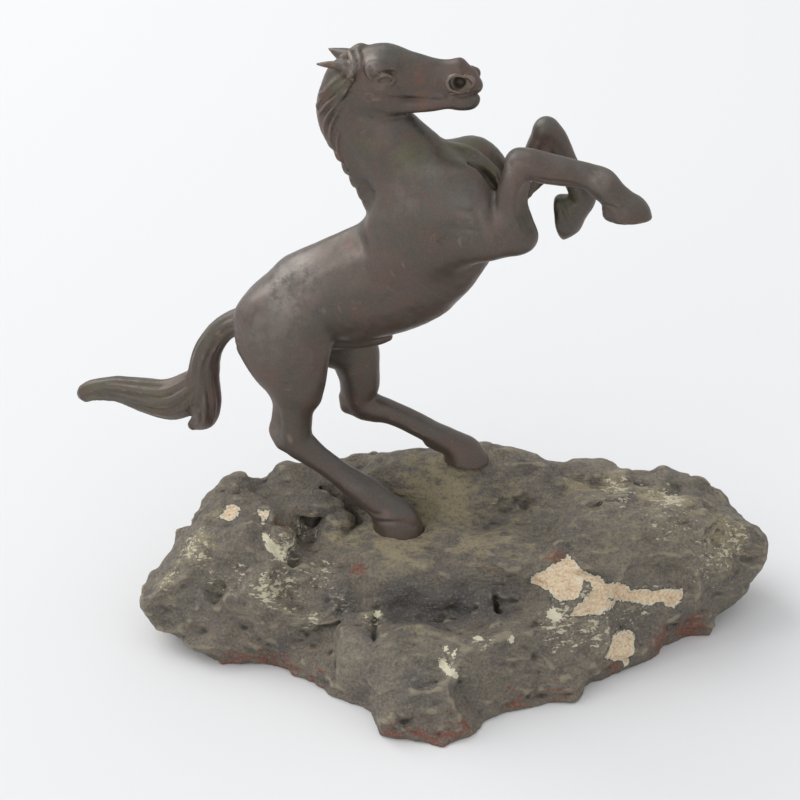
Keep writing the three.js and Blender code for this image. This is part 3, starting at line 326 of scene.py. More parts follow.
    def skin(self):
        """The surface where the field is zero: vertices in millimetres, and quads."""
        self.close_pinches()
        values = self.values
        inside = values < 0
        nx, ny, nz = self.count
        total = np.zeros((nx - 1, ny - 1, nz - 1), np.int8)
        for i, j, k in np.ndindex(2, 2, 2):
            total += inside[i:nx - 1 + i, j:ny - 1 + j, k:nz - 1 + k]
        cells = np.argwhere((total > 0) & (total < 8))
        ids = np.full((nx - 1, ny - 1, nz - 1), -1, np.int32)
        ids[tuple(cells.T)] = np.arange(len(cells))
        place = np.zeros((len(cells), 3))
        hits = np.zeros(len(cells))
        for axis in range(3):
            others = [i for i in range(3) if i != axis]
            for du, dv in np.ndindex(2, 2):
                start = np.zeros(3, int)
                start[others] = du, dv
                end = start.copy()
                end[axis] = 1
                a = values[tuple((cells + start).T)]
                b = values[tuple((cells + end).T)]
                crossed = (a < 0) != (b < 0)
                t = np.where(crossed, a / np.where(crossed, a - b, 1), 0)
                place[crossed] += start
                place[crossed, axis] += t[crossed]
                hits += crossed
        vertices = self.low + (cells + place / hits[:, None]) * self.cell
        quads = []
        for axis in range(3):
            u, v = (axis + 1) % 3, (axis + 2) % 3
            ahead = [slice(1, -1)] * 3
            ahead[axis] = slice(2, None)
            core = inside[1:-1, 1:-1, 1:-1]
            crossed = np.argwhere(core != inside[tuple(ahead)]) + 1
            starts_inside = inside[tuple(crossed.T)]
            corners = []
            for du, dv in ((1, 1), (0, 1), (0, 0), (1, 0)):
                cell = crossed.copy()
                cell[:, u] -= du
                cell[:, v] -= dv
                corners.append(ids[tuple(cell.T)])
            ring = np.stack(corners, 1)
            quads.append(np.where(starts_inside[:, None], ring, ring[:, ::-1]))
        return vertices, np.vstack(quads)

    def sample(self, field, points):
        """The field at points, eased between the grid's values."""
        at = np.clip((points - self.low) / self.cell, 0, self.count - 1.001)
        base = at.astype(int)
        part = at - base
        found = 0
        for corner in np.ndindex(2, 2, 2):
            weight = np.prod(np.where(corner, part, 1 - part), axis=1)
            found = found + weight * field[tuple((base + corner).T)]
        return found

    def shelter(self, radius):
        """How much of a ball of that radius is clay: half on a plain, more in a fold."""
        reach = max(round(radius / self.cell * BLUR_SHARE), 1)
        share = (self.values < 0).astype(np.float32)
        for axis in (0, 1, 2, 0, 1, 2):
            padded = np.moveaxis(np.cumsum(share, axis), axis, 0)
            padded = np.concatenate([np.zeros((1, *padded.shape[1:]), np.float32), padded])
            index = np.arange(len(padded) - 1)
            above = np.minimum(index + reach + 1, len(padded) - 1)
            below = np.maximum(index - reach, 0)
            width = (above - below).astype(np.float32)[:, None, None]
            share = np.moveaxis((padded[above] - padded[below]) / width, 0, axis)
        return share


# The clay's grid reaches past the casting on every side, so that its skin is closed
clay = Clay([-204, -34, 46.1], [112, 34, 318], HORSE_CELL)

# Trunk: barrel, croup, spine and belly
clay.stroke([
    (-90, 0, 162, 13, 1.35), (-79, 0, 166, PELVIS, 1.1), (-55, 0, 180, 23.3), (-31, 0, 189, BARREL, 0.94),
    (-12, 0, 200, BARREL, 0.92), (4, 0, 222, 24, 0.88), (12, 0, 243, 18, 0.95),
], 8)
clay.stroke([(-90.5, 0, 168, 8.2, 1.5), (-79.5, 0, 179, 9, 1.5), (-66, 0, 188, 9.2, 1.3)], 8)
clay.stroke([
    (-72, 0, 187.4, 9), (-56, 0, 198.2, 9.4, 0.9), (-42, 0, 207.4, 9, 0.7), (-27, 0, 216.8, 8, 0.7),
], 8)
clay.stroke([
    (-40, 0, 171.5, 13), (-22, 0, 178.9, 13.3), (-5, 0, 187.2, 11.6), (8, 0, 199, 10.5, 0.9),
    (18, 0, 211, 9, 0.9),
], 10)
clay.stroke([(-54, 1, 153, 5.4), (-40, 1, 155, 4.6), (-29, 0, 157.2, 3.7), (-23.5, 0, 158.8, 2.6)], 4)

# Neck: its column, windpipe and crest
clay.stroke([
    (-8, 0, 226, 25, 0.74), (-9, 0, 245, NECK_ROOT, 0.72), (-23, 0, 263.5, 19.5, 0.64),
    (-36.5, 0, 278, THROAT, 0.62), (-43, 0, 292, 11.5, 0.75),
], 8)
clay.stroke([(-2, 0, 254, 13, 0.8), (-18, 0, 266, 11.4, 0.8)], 7)
clay.stroke([
    (-32, 0, 234, 4.5), (-41, 0, 253, 5), (-51, 0, 270, 6), (-51.5, 0, 285, 6.5), (-46, 0, 296, 5),
], 5)

# Breast, shoulder blades and upper arms
clay.stroke([(-8, 6, 250, 9), (5, 10, 250, 13), (17, 13, 255.2, 10.8), (27, 14, 248.4, 8)], 7)
clay.stroke([(-8, -5, 249, 9), (5, -8.5, 248.5, 13), (18, -10.5, 251.5, 10), (27, -13, 244.5, 8)], 8)
clay.pair([(-23, -9, 222, 7, 0.8), (0, -14, 235, 11), (22, -17, 240, 11)], 8)
clay.pair([(-14, -14, 212, 12, 0.8), (6, -17, 222, 14, 0.7), (26, -19, 229, 11.5, 0.8)], 8)

# The fold of skin before the breast, and the hollow under it
clay.stroke([(20, -8, 260, 2.4), (28, -8, 255, 4.4), (33, -11, 249, 3.4)], 4, hollow=True)
clay.stroke([
    (6, 3, 264, 1.4), (15, 2.5, 263.6, 2), (21.5, 0, 261.4, 2.3), (29.3, -2, 255.8, 2.4),
    (33.5, -5, 251, 1.8),
], 3)

# Head: skull and muzzle, forehead, bridge of the nose, cheeks and jaw
clay.stroke([
    (-41, 0, 296, 11, 0.8), (-27, 0, 299.5, SKULL, 0.76), (-10, 0, 299.2, 9.8, 0.72),
    (4, 0, 299, 8, 0.74), (13, 0, 299.6, 8.4, 0.84),
], 4)
clay.stroke([
    (-36, 0, 305.5, 5, 1.2), (-24, 0, 309.4, 4.7, 1.3), (-12, 0, 307.3, 4, 1.1),
    (2, 0, 305.6, 3.5, 1), (11, 0, 307, 3.9, 1.1),
], 3)
clay.pair([(-31, -5, 291, 11, 0.5), (-25, -5, 291.5, 10.6, 0.5)], 1.6)
clay.pair([(-20, -4.2, 285.4, 3.8), (-6, -3.6, 287, 3.6), (8, -2.6, 289.5, 3.4)], 3)
clay.pair([(-33, -6, 305.4, 2.4), (-26, -7.4, 307.6, 3.2), (-19, -6.4, 306.4, 2.2)], 2.2)

# Muzzle: upper lip, lower lip, chin and flared nostrils
clay.stroke([(13, 0, 296.4, 6, 1.02), (18.8, 0, 297.4, 4.4, 1.15)], 2)
clay.stroke([
    (4, 0, 289.8, 4.4, 1.1), (11, 0, 289.3, 4.8, 1.15), (16.5, 0, 289.8, 4.6, 1.1),
    (18.7, 0, 291, 3.3, 1.1),
], 1.2)
clay.pair([
    (14.6, -6.8, 303.8, 1), (11.3, -7.5, 304.6, 1.3), (8.2, -7.8, 303.2, 1.4), (7.2, -7.6, 300.4, 1.4),
    (8.4, -7.4, 297.6, 1.2), (12, -7, 296.4, 1), (15, -6.4, 297.6, 0.8),
], 1)
clay.pair([
    (15.6, -6.2, 304.2, 1.3), (18.4, -5.6, 302.6, 1.9), (18.8, -5.2, 299.8, 1.5),
    (16.4, -5.8, 297.4, 0.9),
], 1)
clay.pair([(11.2, -9.6, 300.7, 3.2), (12.4, -4.8, 300.4, 2.2)], 0.8, hollow=True)
clay.pair([(12.6, -8.8, 300.7, 2.7), (15.8, -7.4, 300.9, 1.8)], 0.8, hollow=True)
clay.pair([
    (24, -2.5, 295, 0.9), (20, -5.2, 294.9, 1.1), (13.2, -7, 294, 1.1), (7, -6.5, 293, 0.7),
], 0.6, hollow=True)
clay.pair([(7.6, -6.4, 294.6, 0.7), (13, -6.8, 295.8, 0.9), (18, -5.6, 296.6, 0.8)], 0.8)
CREST_OF_CHEEK = [(-26, 295.4, 0.8), (-20, 294.2, 1), (-12, 293.2, 0.9), (-3, 292.8, 0.7), (5, 292.8, 0.3)]
for view in SIDES:
    clay.lay(CREST_OF_CHEEK, view, 2.5)

# Eyes: a socket, the ball, two lids, the corner of the brow and the wrinkles round them
clay.pair([(-24.4, -10.6, 299.4, 2.5), (-21, -10.4, 300.6, 2.5)], 2.2, hollow=True)
clay.pair([(-22.9, -7.3, 299.8, 2.5), (-21.8, -7.2, 300.2, 2.5)], 0.4)
clay.pair([
    (-27.2, -8.5, 298.2, 0.5), (-25.2, -9.6, 301.2, 0.8), (-21.8, -9.9, 302.8, 0.9),
    (-18, -8.5, 300.6, 0.6),
], 1)
clay.pair([
    (-26.8, -8.7, 297.8, 0.5), (-23, -9.7, 297, 0.7), (-19.4, -9.2, 298.2, 0.6),
    (-17.6, -8.5, 300.2, 0.4),
], 1)
clay.pair([
    (-28.6, -8.4, 302.6, 0.7), (-24.6, -9.3, 305.6, 1.1), (-19.5, -8.6, 306.2, 1),
    (-15.5, -7.2, 304.2, 0.5),
], 1)
clay.pair([(-27.6, -9.4, 296.4, 0.4), (-23, -9.6, 294.8, 0.7), (-17.2, -8.6, 296.2, 0.5)], 0.8)
clay.pair([(-26.4, -9.5, 293.8, 0.3), (-21.6, -9.4, 292.8, 0.6), (-15.6, -8.2, 294.4, 0.4)], 0.8)
clay.pair([
    (-28.4, -6.4, 309.4, 1.2), (-30.4, -8.8, 306.4, 1.7), (-30.4, -9.6, 302.8, 1.3),
    (-29, -9.8, 300, 0.5),
], 0.9)

# Ears laid back: the near one a slender horn, the far one wider
clay.stroke([
    (-38, -7, 302.5, 3.6), (-42, -7.6, 304.2, 3), (-46, -8, 304.7, 2), (-50.5, -8, 304.6, 1.5),
    (-55.8, -8, 304.4, 0.5),
], 1.2)
clay.stroke([
    (-40, 6, 303.6, 4.4), (-46, 7, 304.2, 3.9), (-50.5, 7.3, 305.4, 2.4), (-54.4, 7.5, 306.9, 0.9),
], 1.4, side=(0, 0.3, 1))

# Forelock, locks behind the ear, and the mane in strands round the crest
clay.stroke([(-42, -1, 306.5, 3), (-37, 0, 310.3, 3), (-33.5, 0, 309.4, 2.4), (-29.5, -1, 308.4, 1.2)], 1.2)
clay.stroke([
    (-41, -3, 309.5, 1.4), (-38.6, -7, 307.4, 1.6), (-37.4, -9.4, 303.8, 1.6),
    (-38.6, -10.2, 300.6, 1.2),
], 0.6)
clay.stroke([(-37, -4, 310.2, 1.1), (-35, -7, 308.2, 1.2), (-34.4, -8.8, 305, 0.9)], 0.6)
MANE = [
    [(-38.4, 302, 1.5), (-41.5, 297.8, 1.8), (-48.4, 292.4, 1.9), (-54, 287.2, 1.6), (-57, 282, 0.8)],
    [(-42.6, 301.5, 1.2), (-46.6, 297, 1.6), (-51, 292.5, 1.6), (-55, 288.8, 0.9)],
    [(-38, 299.4, 1.3), (-41.6, 294.4, 1.7), (-45.8, 290, 1.8), (-51.4, 284.6, 1.7), (-55.4, 279.4, 1)],
    [(-40.6, 293.8, 0.9), (-44.6, 288.4, 1.4), (-49.4, 281.6, 1.6), (-53, 275, 1.2), (-53.6, 268.6, 0.5)],
    [(-43, 286.6, 0.6), (-46.6, 280.6, 1.2), (-50, 273.6, 1.4), (-50.6, 266.4, 1.1), (-48.6, 260, 0.5)],
    [(-46, 272, 0.5), (-47.4, 265, 1.1), (-46.6, 257.4, 1.1), (-44, 250.6, 0.5)],
]
PARTINGS = (-0.9, 0.4, 1.4)
PARTING_WIDTH = 0.7
PARTING_DEPTH = 0.6
for strand in MANE:
    for view in SIDES:
        clay.lay(strand, view, 1.2)
for strand in MANE:
    for aside in PARTINGS:
        parting = [(x + aside, z - aside, min(reach, 1)) for x, z, reach in strand]
        for view in SIDES:
            clay.line(parting, view, PARTING_WIDTH, PARTING_DEPTH)
CURL = [(0, 2.5, 6, 1.4), (-1, 1.5, 1, 2), (0.5, -2.5, -3.5, 1.5), (3, -4.4, -5, 0.8)]
for i in range(CREST_CURLS):
    t = i / (CREST_CURLS - 1)
    x = CREST_TOP[0] + CREST_RUN[0] * t - CREST_BULGE * t * (1 - t)
    z = CREST_TOP[1] + CREST_RUN[1] * t
    clay.stroke([(x + dx, y, z + dz, radius) for dx, y, dz, radius in CURL], 0.8)

# Near foreleg: reaches forward, the hoof folded a little down
y = -FORE_Y
clay.stroke([(8, -13, 228, 13), (30, y, 228.6, 10.8), (41, y - 0.5, 229.2, 8.6), (45, y - 0.5, 231, 8)], 5)
clay.stroke([(20, -15, 243, 10), (33, y, 238, 9.5), (40, y, 236, 9)], 5)
clay.stroke([
    (45, y, 231, 8.2), (42.4, y, 238, FOREARM), (40.8, y, 249, FOREARM - 1), (42.6, y, 259, KNEE + 0.2),
    (44.5, y, 267, KNEE),
], 4)
clay.stroke([
    (44, y, 268.3, KNEE - 0.2), (50, y, 267.8, KNEE + 0.4), (60, y, 266.2, CANNON + 0.8),
    (70, y, 265.3, CANNON + 0.4), (77, y, 264.2, CANNON + 0.5), (83.6, y, 261.5, FETLOCK - 0.1),
    (89.5, y, 255.8, FETLOCK - 0.8),
], 2)
clay.stroke([(81, y, 258.5, 4.5), (85, y, 255.6, 4)], 2)
clay.hoof([
    (89.5, y, 255, 6.2, 0.95), (94, y, 250.2, 8.5, 0.92), (97.5, y, 247.6, 9, 0.95),
    (101, y, 245.6, 6.5, 1),
], [94, y, 244.6], [0.12, -0.1, -1])
clay.stroke([(87.4, y - 1, 250.2, 4), (88.2, y - 1, 248.4, 4.6)], 1.2)

# Far foreleg: lifted higher, the cannon and hoof folded back under the knee
y = FORE_Y - 2
clay.stroke([(8, y - 2, 228, 13), (26, y + 1, 229, 10), (36, y + 1, 228, 8.5), (40, y, 229, 8)], 5)
clay.stroke([
    (40, y, 229, 8), (42, y, 240, FOREARM - 0.2), (45, y, 251, FOREARM - 0.6), (48.5, y, 262, 7.8),
    (51, y, 271, KNEE + 0.4),
], 3)
clay.stroke([
    (51, y, 273, KNEE + 0.2), (55, y, 268, KNEE), (59.5, y, 259, CANNON + 0.3),
    (65, y, 249.5, CANNON - 0.1), (70, y, 240.5, FETLOCK - 0.9), (67.5, y, 235, CANNON),
    (63.5, y, 232, CANNON + 1),
], 1.5)
clay.stroke([(61, y, 225, 8), (59, y, 218.6, 4)], 3)
clay.hoof([
    (67, y, 235, 6.4, 1), (62.5, y, 231, 9.2, 0.95), (59.5, y, 229, 11, 0.9), (53, y, 227.4, 11.8, 0.9),
], [57.5, y, 229.5], [-1, -0.08, -0.22], rim=4)

# Near hind leg
y = -HIND_Y
clay.stroke([
    (-83.4, -11, 162.4, THIGH - 0.8, 0.7), (-75, -15, 152, THIGH, 0.62), (-70, -18, 139, 13.5, 0.75),
    (-69.5, y - 0.5, 126, 10.5, 0.8), (-70, y, 115, HOCK + 0.6, 0.82), (-70.5, y, 107, HOCK + 0.6, 0.8),
    (-68, y, 100, HOCK - 0.2, 0.8), (-60, y, 93.5, CANNON + 1.4, 0.88), (-47, y, 84.2, CANNON + 0.8, 0.95),
    (-38, y, 78.2, CANNON + 1.6), (-31, y, 74.2, FETLOCK + 0.9), (-24, y - 0.5, 69, FETLOCK + 0.4),
], 7)
clay.stroke([(-90, -13, 152, 10, 0.9), (-83, -15.5, 140, 8.5, 0.8), (-75, y, 129, 5, 0.8)], 7)
clay.stroke([
    (-66, -15, 158, 16, 0.7), (-58, -19, 155, 9, 0.8), (-61, -18, 140, 8.5, 0.8),
    (-62.2, y - 0.5, 129, 7, 0.8),
], 7)
clay.stroke([(-77, y, 124, 3), (-79.5, y, 112, 3), (-80.5, y, 105, 3.8), (-77, y, 99, 4.2)], 4)
clay.stroke([(-36, y, 70, 4), (-32.5, y, 68.5, 3.6)], 3)
clay.hoof([
    (-25, -17.5, 69.4, 7.8, 0.92), (-20.5, -18, 65.6, 8.8, 0.92), (-16, -18, 60.4, 11.4, 0.9),
    (-14, -18, 55.5, 12.9, HOOF_FLAT), (-13, -18, 49, 13.3, HOOF_FLAT),
], NEAR_SOLE, NEAR_DOWN, 1.5)

# Far hind leg
y = HIND_Y
clay.stroke([
    (-82, 11, 158, 18, 0.7), (-62, 15, 147, 17, 0.65), (-50, y, 138, 12.8, 0.75),
    (-45.3, y, 126, 10.6, 0.82), (-44.5, y, 115, HOCK + 0.8, 0.82), (-42.5, y, 108, HOCK + 0.2, 0.8),
    (-36, y, 105.8, 7.8, 0.85), (-27, y, 104.2, CANNON + 0.6, 0.95), (-13, y, 99, CANNON + 0.2),
    (-4, y, 95, CANNON + 0.3), (2, y + 0.5, 92.2, FETLOCK - 0.5), (8, y + 1, 89, CANNON + 0.6),
], 7)
clay.stroke([
    (-56, 15, 150, 13, 0.7), (-45, y + 0.5, 142, 10.5, 0.75), (-42, y, 132, 8.2, 0.8),
    (-41.5, y, 122, 7, 0.8),
], 6)
clay.stroke([(-52, y, 110, 3.2, 0.9), (-51, y, 104.5, 4, 0.9)], 4)
clay.stroke([(-5, y, 89.5, 3.3), (-1, y, 88, 3)], 3)
clay.hoof([
    (5, 18, 89.6, 6.4, 0.95), (10, 18.5, 86.4, 8.4, 0.92), (13.4, 19, 82, 10.8, HOOF_FLAT),
    (15, 19, 76, 12.4, HOOF_FLAT),
], FAR_SOLE, FAR_DOWN, 1.5)


# Tail: two locks, each a core with strands laid round it
def tail_lock(stations):
    """A lock of the tail along stations of x, y, z, radius and flatness."""
    rows = np.array(stations, float)
    core = rows.copy()
    core[:, 3] *= TAIL_CORE
    clay.stroke(core, 4)
    before = rows[np.maximum(np.arange(len(rows)) - 1, 0)]
    after = rows[np.minimum(np.arange(len(rows)) + 1, len(rows) - 1)]
    run = (after - before)[:, [0, 2]]
    run /= np.linalg.norm(run, axis=1)[:, None]
    for s in range(TAIL_STRANDS):
        angle = 2 * math.pi * s / TAIL_STRANDS + TAIL_TWIST * np.arange(len(rows)) / len(rows)
        strand = rows.copy()
        strand[:, 0] -= run[:, 1] * STRAND_OUT * rows[:, 3] * np.cos(angle)
        strand[:, 1] += STRAND_OUT * rows[:, 3] * rows[:, 4] * np.sin(angle)
        strand[:, 2] += run[:, 0] * STRAND_OUT * rows[:, 3] * np.cos(angle)
        strand[:, 3] *= STRAND_SHARE
        strand[:, 4] = 1
        clay.stroke(strand, 1.2)


dock = [
    (-95, 0, 161, 8, 1), (-107, 0, 156, 6.9, 1), (-115, 0, 149, 6.6, 1), (-121.5, 0, 138, 7.2, 1),
    (-124.5, 0, 125, 8.2, 0.9), (-124.5, 0, 108, 8.6, 0.9), (-126, 0, 96.5, 6.5, 0.8),
    (-133, 0, 90.5, 2.4, 0.8),
]
flick = [
    (-122, 0, 126, 5, 0.9), (-129, 0, 115, 10, 0.75), (-143.5, 0, 105.6, 11.3, 0.72),
    (-159, 0, 105.8, 9.4, 0.75), (-174.5, 0, 107.2, 7.3, 0.8), (-187.5, 0, 105.3, 6, 0.8),
    (-194.3, 0, 102, 5.1, 0.8),
]
tail_lock(dock)
tail_lock(flick)
clay.hair(dock, 13)
clay.hair(flick[1:], 14)

# Rims, folds and tendons drawn into the skin of the near side: x, z and strength along each
# one, its width, and its depth, which is negative for a ridge
RIMS = [
    ([(-25.6, 64.4, 0.6), (-20, 66, 1), (-14, 67, 1), (-9, 66.6, 0.8), (-4, 63.4, 0.5)], 1, -0.6),
    ([(-25.2, 62.6, 0.8), (-20, 64, 1), (-14, 65, 1), (-9, 64.4, 0.8), (-4, 61, 0.6)], 1, 0.8),
    ([(85.2, 253.7, 0.6), (90.6, 253.4, 1), (94.2, 250.2, 1), (97.4, 247, 0.6)], 0.9, 1),
    ([(85.4, 255.4, 0.4), (91.4, 255.2, 1), (97, 254.4, 0.8), (102.4, 251.4, 0.4)], 1, -0.35),
    ([(59.8, 240, 0.5), (62.4, 236, 1), (64.6, 231.5, 1), (65.6, 227.4, 0.6)], 0.9, 0.9),
]
CREASES = [
    ([(-16, 303.4, 0.3), (-8, 302.6, 1), (2, 301.6, 0.8), (6, 301, 0.3)], 1.8, -0.45),
    ([(35, 262, 0.3), (33.4, 254, 1), (33.2, 246, 1), (34, 240, 0.4)], 2, 0.9),
    ([(48.6, 259.6, 0.4), (47.6, 255, 1), (47.2, 249, 1), (48.4, 243, 1), (51, 238, 0.5)], 2.8, 1.7),
    ([(47, 261, 0.4), (43.6, 256, 1), (42.8, 249, 1), (44.2, 243, 1), (48, 236.5, 0.5)], 1.3, -0.9),
    ([(50, 264.4, 0.3), (60, 263.4, 1), (70, 262.6, 1), (79, 259.4, 0.3)], 1.2, 0.5),
    ([(14, 246, 0.2), (20.2, 245, 0.8), (25.5, 245, 1), (28.2, 241, 0.7), (29, 237, 0.2)], 1.5, 0.7),
    ([(9, 236.5, 0.2), (18, 236.8, 0.8), (27.4, 237.4, 1), (37.5, 236, 0.3)], 2, 0.6),
    ([
        (-41, 289.3, 0.4), (-38.6, 284.6, 0.8), (-34.6, 281.3, 1), (-27, 280, 1), (-19, 280.4, 1),
        (-14, 282.6, 0.4),
    ], 1.2, 0.7),
    ([(-28, 245, 0.2), (-18, 232, 0.8), (-14, 222, 1), (-18, 212, 0.3)], 5, 0.4),
    ([(-56, 168, 0.2), (-52, 158, 1), (-54, 148, 0.8), (-60, 138, 0.2)], 3, 0.7),
    ([(-76, 122, 0.3), (-75.5, 113, 1), (-76, 105, 0.6)], 1.6, 0.7),
    ([(-62, 89.5, 0.4), (-48, 80.6, 1), (-37, 73.6, 0.6)], 1.5, 0.6),
    ([(-30, 70, 0.4), (-26.5, 67.6, 1), (-22.5, 67.6, 0.6)], 1.1, 0.7),
]
for drawn, width, depth in RIMS + CREASES:
    clay.line(drawn, "near", width, depth)

# The unevenness that the modeller's fingers leave: height, size and seed of each layer
UNEVEN = [(0.24, 15, 3), (0.1, 6, 4), (0.03, 2.6, 5)]
clay.values += sum(height * clay.noise(size, seed) for height, size, seed in UNEVEN)


def put(name, data):
    """A new object in the scene."""
    thing = bpy.data.objects.new(name, data)
    bpy.context.scene.collection.objects.link(thing)
    return thing


def cast(name, body, triangles, turn, shift):
    """Makes a mesh piece from clay, thinned to a number of triangles, with the slivers that
    thinning leaves closed up. It gives the piece, and the places of its vertices in the
    clay's millimetres."""
    vertices, quads = body.skin()
    mesh = bpy.data.meshes.new(name)
    mesh.from_pydata(vertices.tolist(), [], quads.tolist())
    piece = put(name, mesh)
    bpy.ops.object.select_all(action="DESELECT")
    piece.select_set(True)
    bpy.context.view_layer.objects.active = piece
    thin = piece.modifiers.new("Thin", "DECIMATE")
    thin.ratio = min(triangles / (2 * len(quads)), 1)
    bpy.ops.object.modifier_apply(modifier=thin.name)
    bpy.ops.object.shade_smooth()
    mesh = piece.data
    corners = bmesh.new()
    corners.from_mesh(mesh)
    bmesh.ops.remove_doubles(corners, verts=corners.verts, dist=SLIVER)
    corners.to_mesh(mesh)
    corners.free()
    places = np.zeros(3 * len(mesh.vertices), np.float32)
    mesh.vertices.foreach_get("co", places)
    places = places.reshape(-1, 3).astype(float)
    c, s = math.cos(turn), math.sin(turn)
    turned = places @ np.array([[c, s, 0], [-s, c, 0], [0, 0, 1]]) + shift
    mesh.vertices.foreach_set("co", (turned * MM).astype(np.float32).ravel())
    mesh.update()
    return piece, places


def mark(piece, name, values):
    """Notes a value for each vertex of a piece, for its material to read."""
    layer = piece.data.attributes.new(name, "FLOAT", "POINT")
    layer.data.foreach_set("value", np.asarray(values, np.float32))


horse, places = cast("bronze_horse", clay, HORSE_TRIANGLES, HORSE_YAW, HORSE_AT - MIDDLE)
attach(horse, "root")
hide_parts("horse")


def add_node(tree, kind, values=None, **settings):
    """A shader node with its settings, and values or links by the name of each input."""
    node = tree.nodes.new(kind)
    for name, value in settings.items():
        setattr(node, name, value)
    for name, value in (values or {}).items():
        if isinstance(value, bpy.types.NodeSocket):
            tree.links.new(value, node.inputs[name])
        else:
            node.inputs[name].default_value = value
    return node


def mixed(factor, a, b):
    """One colour laid over another where factor is high."""
    node = add_node(factor.id_data, "ShaderNodeMix", {0: factor, 6: a, 7: b}, data_type="RGBA")
    return node.outputs[2]


def calculated(operation, *values):
    """The result of a Math node on values, the first of which is a socket."""
    tree = values[0].id_data
    node = add_node(tree, "ShaderNodeMath", dict(enumerate(values)), operation=operation)
    return node.outputs[0]


def times(a, b):
    """Two values multiplied."""
    return calculated("MULTIPLY", a, b)


def varied(value, by, amount):
    """A value with some of another added to it."""
    return calculated("MULTIPLY_ADD", by, amount, value)


def ramped(value, low, high, start=0.0, end=1.0):
    """A value eased from start to end as it goes from low to high."""
    node = add_node(value.id_data, "ShaderNodeMapRange", {
        "Value": value, "From Min": low, "From Max": high, "To Min": start, "To Max": end,
    }, interpolation_type="SMOOTHSTEP")
    return node.outputs["Result"]


def effect(name, inputs, output):
    """A shader node group: its tree, its inputs by name, and the socket that it puts out."""
    tree = bpy.data.node_groups.new(name, "ShaderNodeTree")
    for title in inputs:
        kind = "NodeSocketVector" if title == "Place" else "NodeSocketFloat"
        tree.interface.new_socket(title, in_out="INPUT", socket_type=kind)
    tree.interface.new_socket(output, in_out="OUTPUT", socket_type="NodeSocketFloat")
    given = tree.nodes.new("NodeGroupInput").outputs
    return tree, given, tree.nodes.new("NodeGroupOutput").inputs[output]


def clouds(tree, given, detail, roughness, distortion=0):
    """Noise of the size that a group is given."""
    scale = add_node(tree, "ShaderNodeMath", {0: 1, 1: given["Size"]}, operation="DIVIDE")
    return add_node(tree, "ShaderNodeTexNoise", {
        "Vector": given["Place"], "Scale": scale.outputs[0], "Detail": detail,
        "Roughness": roughness, "Distortion": distortion,
    }).outputs[0]


def surface(name, noted):
    """A material, the piece's own coordinates, and the values that are noted for each vertex."""
    material = bpy.data.materials.new(name)
    material.use_nodes = True
    tree = material.node_tree
    place = tree.nodes.new("ShaderNodeTexCoord").outputs["Object"]
    values = [add_node(tree, "ShaderNodeAttribute", attribute_name=title) for title in noted]
    return material, place, *[node.outputs["Fac"] for node in values]


def colour(code):
    """A colour as painters note it, such as 6b4a3a, in the linear values of the shader."""
    parts = [int(code[i:i + 2], 16) / 255 for i in (0, 2, 4)]
    linear = [part / 12.92 if part <= 0.04045 else ((part + 0.055) / 1.055) ** 2.4 for part in parts]
    return (*linear, 1)


def coated(base, coats):
    """A colour with coats of others laid over it, each where its mask is high."""
    for mask, code in coats:
        base = mixed(mask, base, colour(code))
    return base


def clad(piece, material, base, roughness, height, strength, distance, metallic=0):
    """Gives a piece its material, with its colour, its roughness and a bump of small heights."""
    tree = material.node_tree
    shader = tree.nodes["Principled BSDF"]
    bump = add_node(tree, "ShaderNodeBump", {
        "Height": height, "Strength": strength, "Distance": distance,
    }).outputs["Normal"]
    for title, value in (("Base Color", base), ("Roughness", roughness), ("Normal", bump)):
        tree.links.new(value, shader.inputs[title])
    shader.inputs["Metallic"].default_value = metallic
    piece.data.materials.append(material)


# Cloudy variation of a given size, from 0 to 1
mottle, given, put_out = effect("Mottle", ("Place", "Size", "Detail"), "Share")
mottle.links.new(clouds(mottle, given, given["Detail"], 0.6), put_out)

# Irregular specks of a given size, as many as their share says
specks, given, put_out = effect("Specks", ("Place", "Size", "Share"), "Mask")
least = ramped(given["Share"], 0, 1, 0.72, 0.48)
over = calculated("SUBTRACT", clouds(specks, given, 4, 0.7, 0.3), least)
specks.links.new(ramped(over, 0, 0.025), put_out)


def mottled(place, size, detail):
    """Cloudy variation at a place."""
    values = {"Place": place, "Size": size, "Detail": detail}
    return add_node(place.id_data, "ShaderNodeGroup", values, node_tree=mottle).outputs[0]


def speckled_with(place, size, share):
    """Specks at a place."""
    values = {"Place": place, "Size": size, "Share": share}
    return add_node(place.id_data, "ShaderNodeGroup", values, node_tree=specks).outputs[0]


# Where the finish varies, and where the worn spots also carry a painted highlight: x, y, z, reach and
# strength
GREENED = [
    (10, 0, 262, 18, 1), (28, 0, 254, 14, 1), (-8, -10, 264, 14, 0.9), (-30, -9, 268, 13, 0.6),
    (-46, -9, 294, 9, 0.9), (-36, 0, 311, 8, 0.8), (60, 12, 240, 12, 1), (50, 8, 236, 14, 0.9),
    (48, -14, 240, 11, 0.9), (-40, 14, 140, 14, 0.6), (-20, 17, 100, 12, 0.5), (-134, 0, 112, 12, 0.9),
    (-124, 0, 150, 12, 0.8), (-50, 0, 148, 8, 0.9), (14, -8, 300, 8, 0.7), (-23, -9, 299, 6, 0.7),
    (-170, 0, 108, 14, 0.7), (-20, -5, 240, 18, 0.4), (-55, 0, 206, 20, 0.4), (96, -17, 252, 8, 0.5),
    (16, 12, 264, 14, 1), (-150, 0, 106, 16, 0.9), (-186, 0, 105, 12, 0.9), (-110, 0, 154, 10, 0.8),
    (14, 19, 80, 11, 0.9), (-14, -18, 56, 10, 0.5), (58, 15, 230, 9, 0.8), (97, -17, 251, 7, 0.8),
]
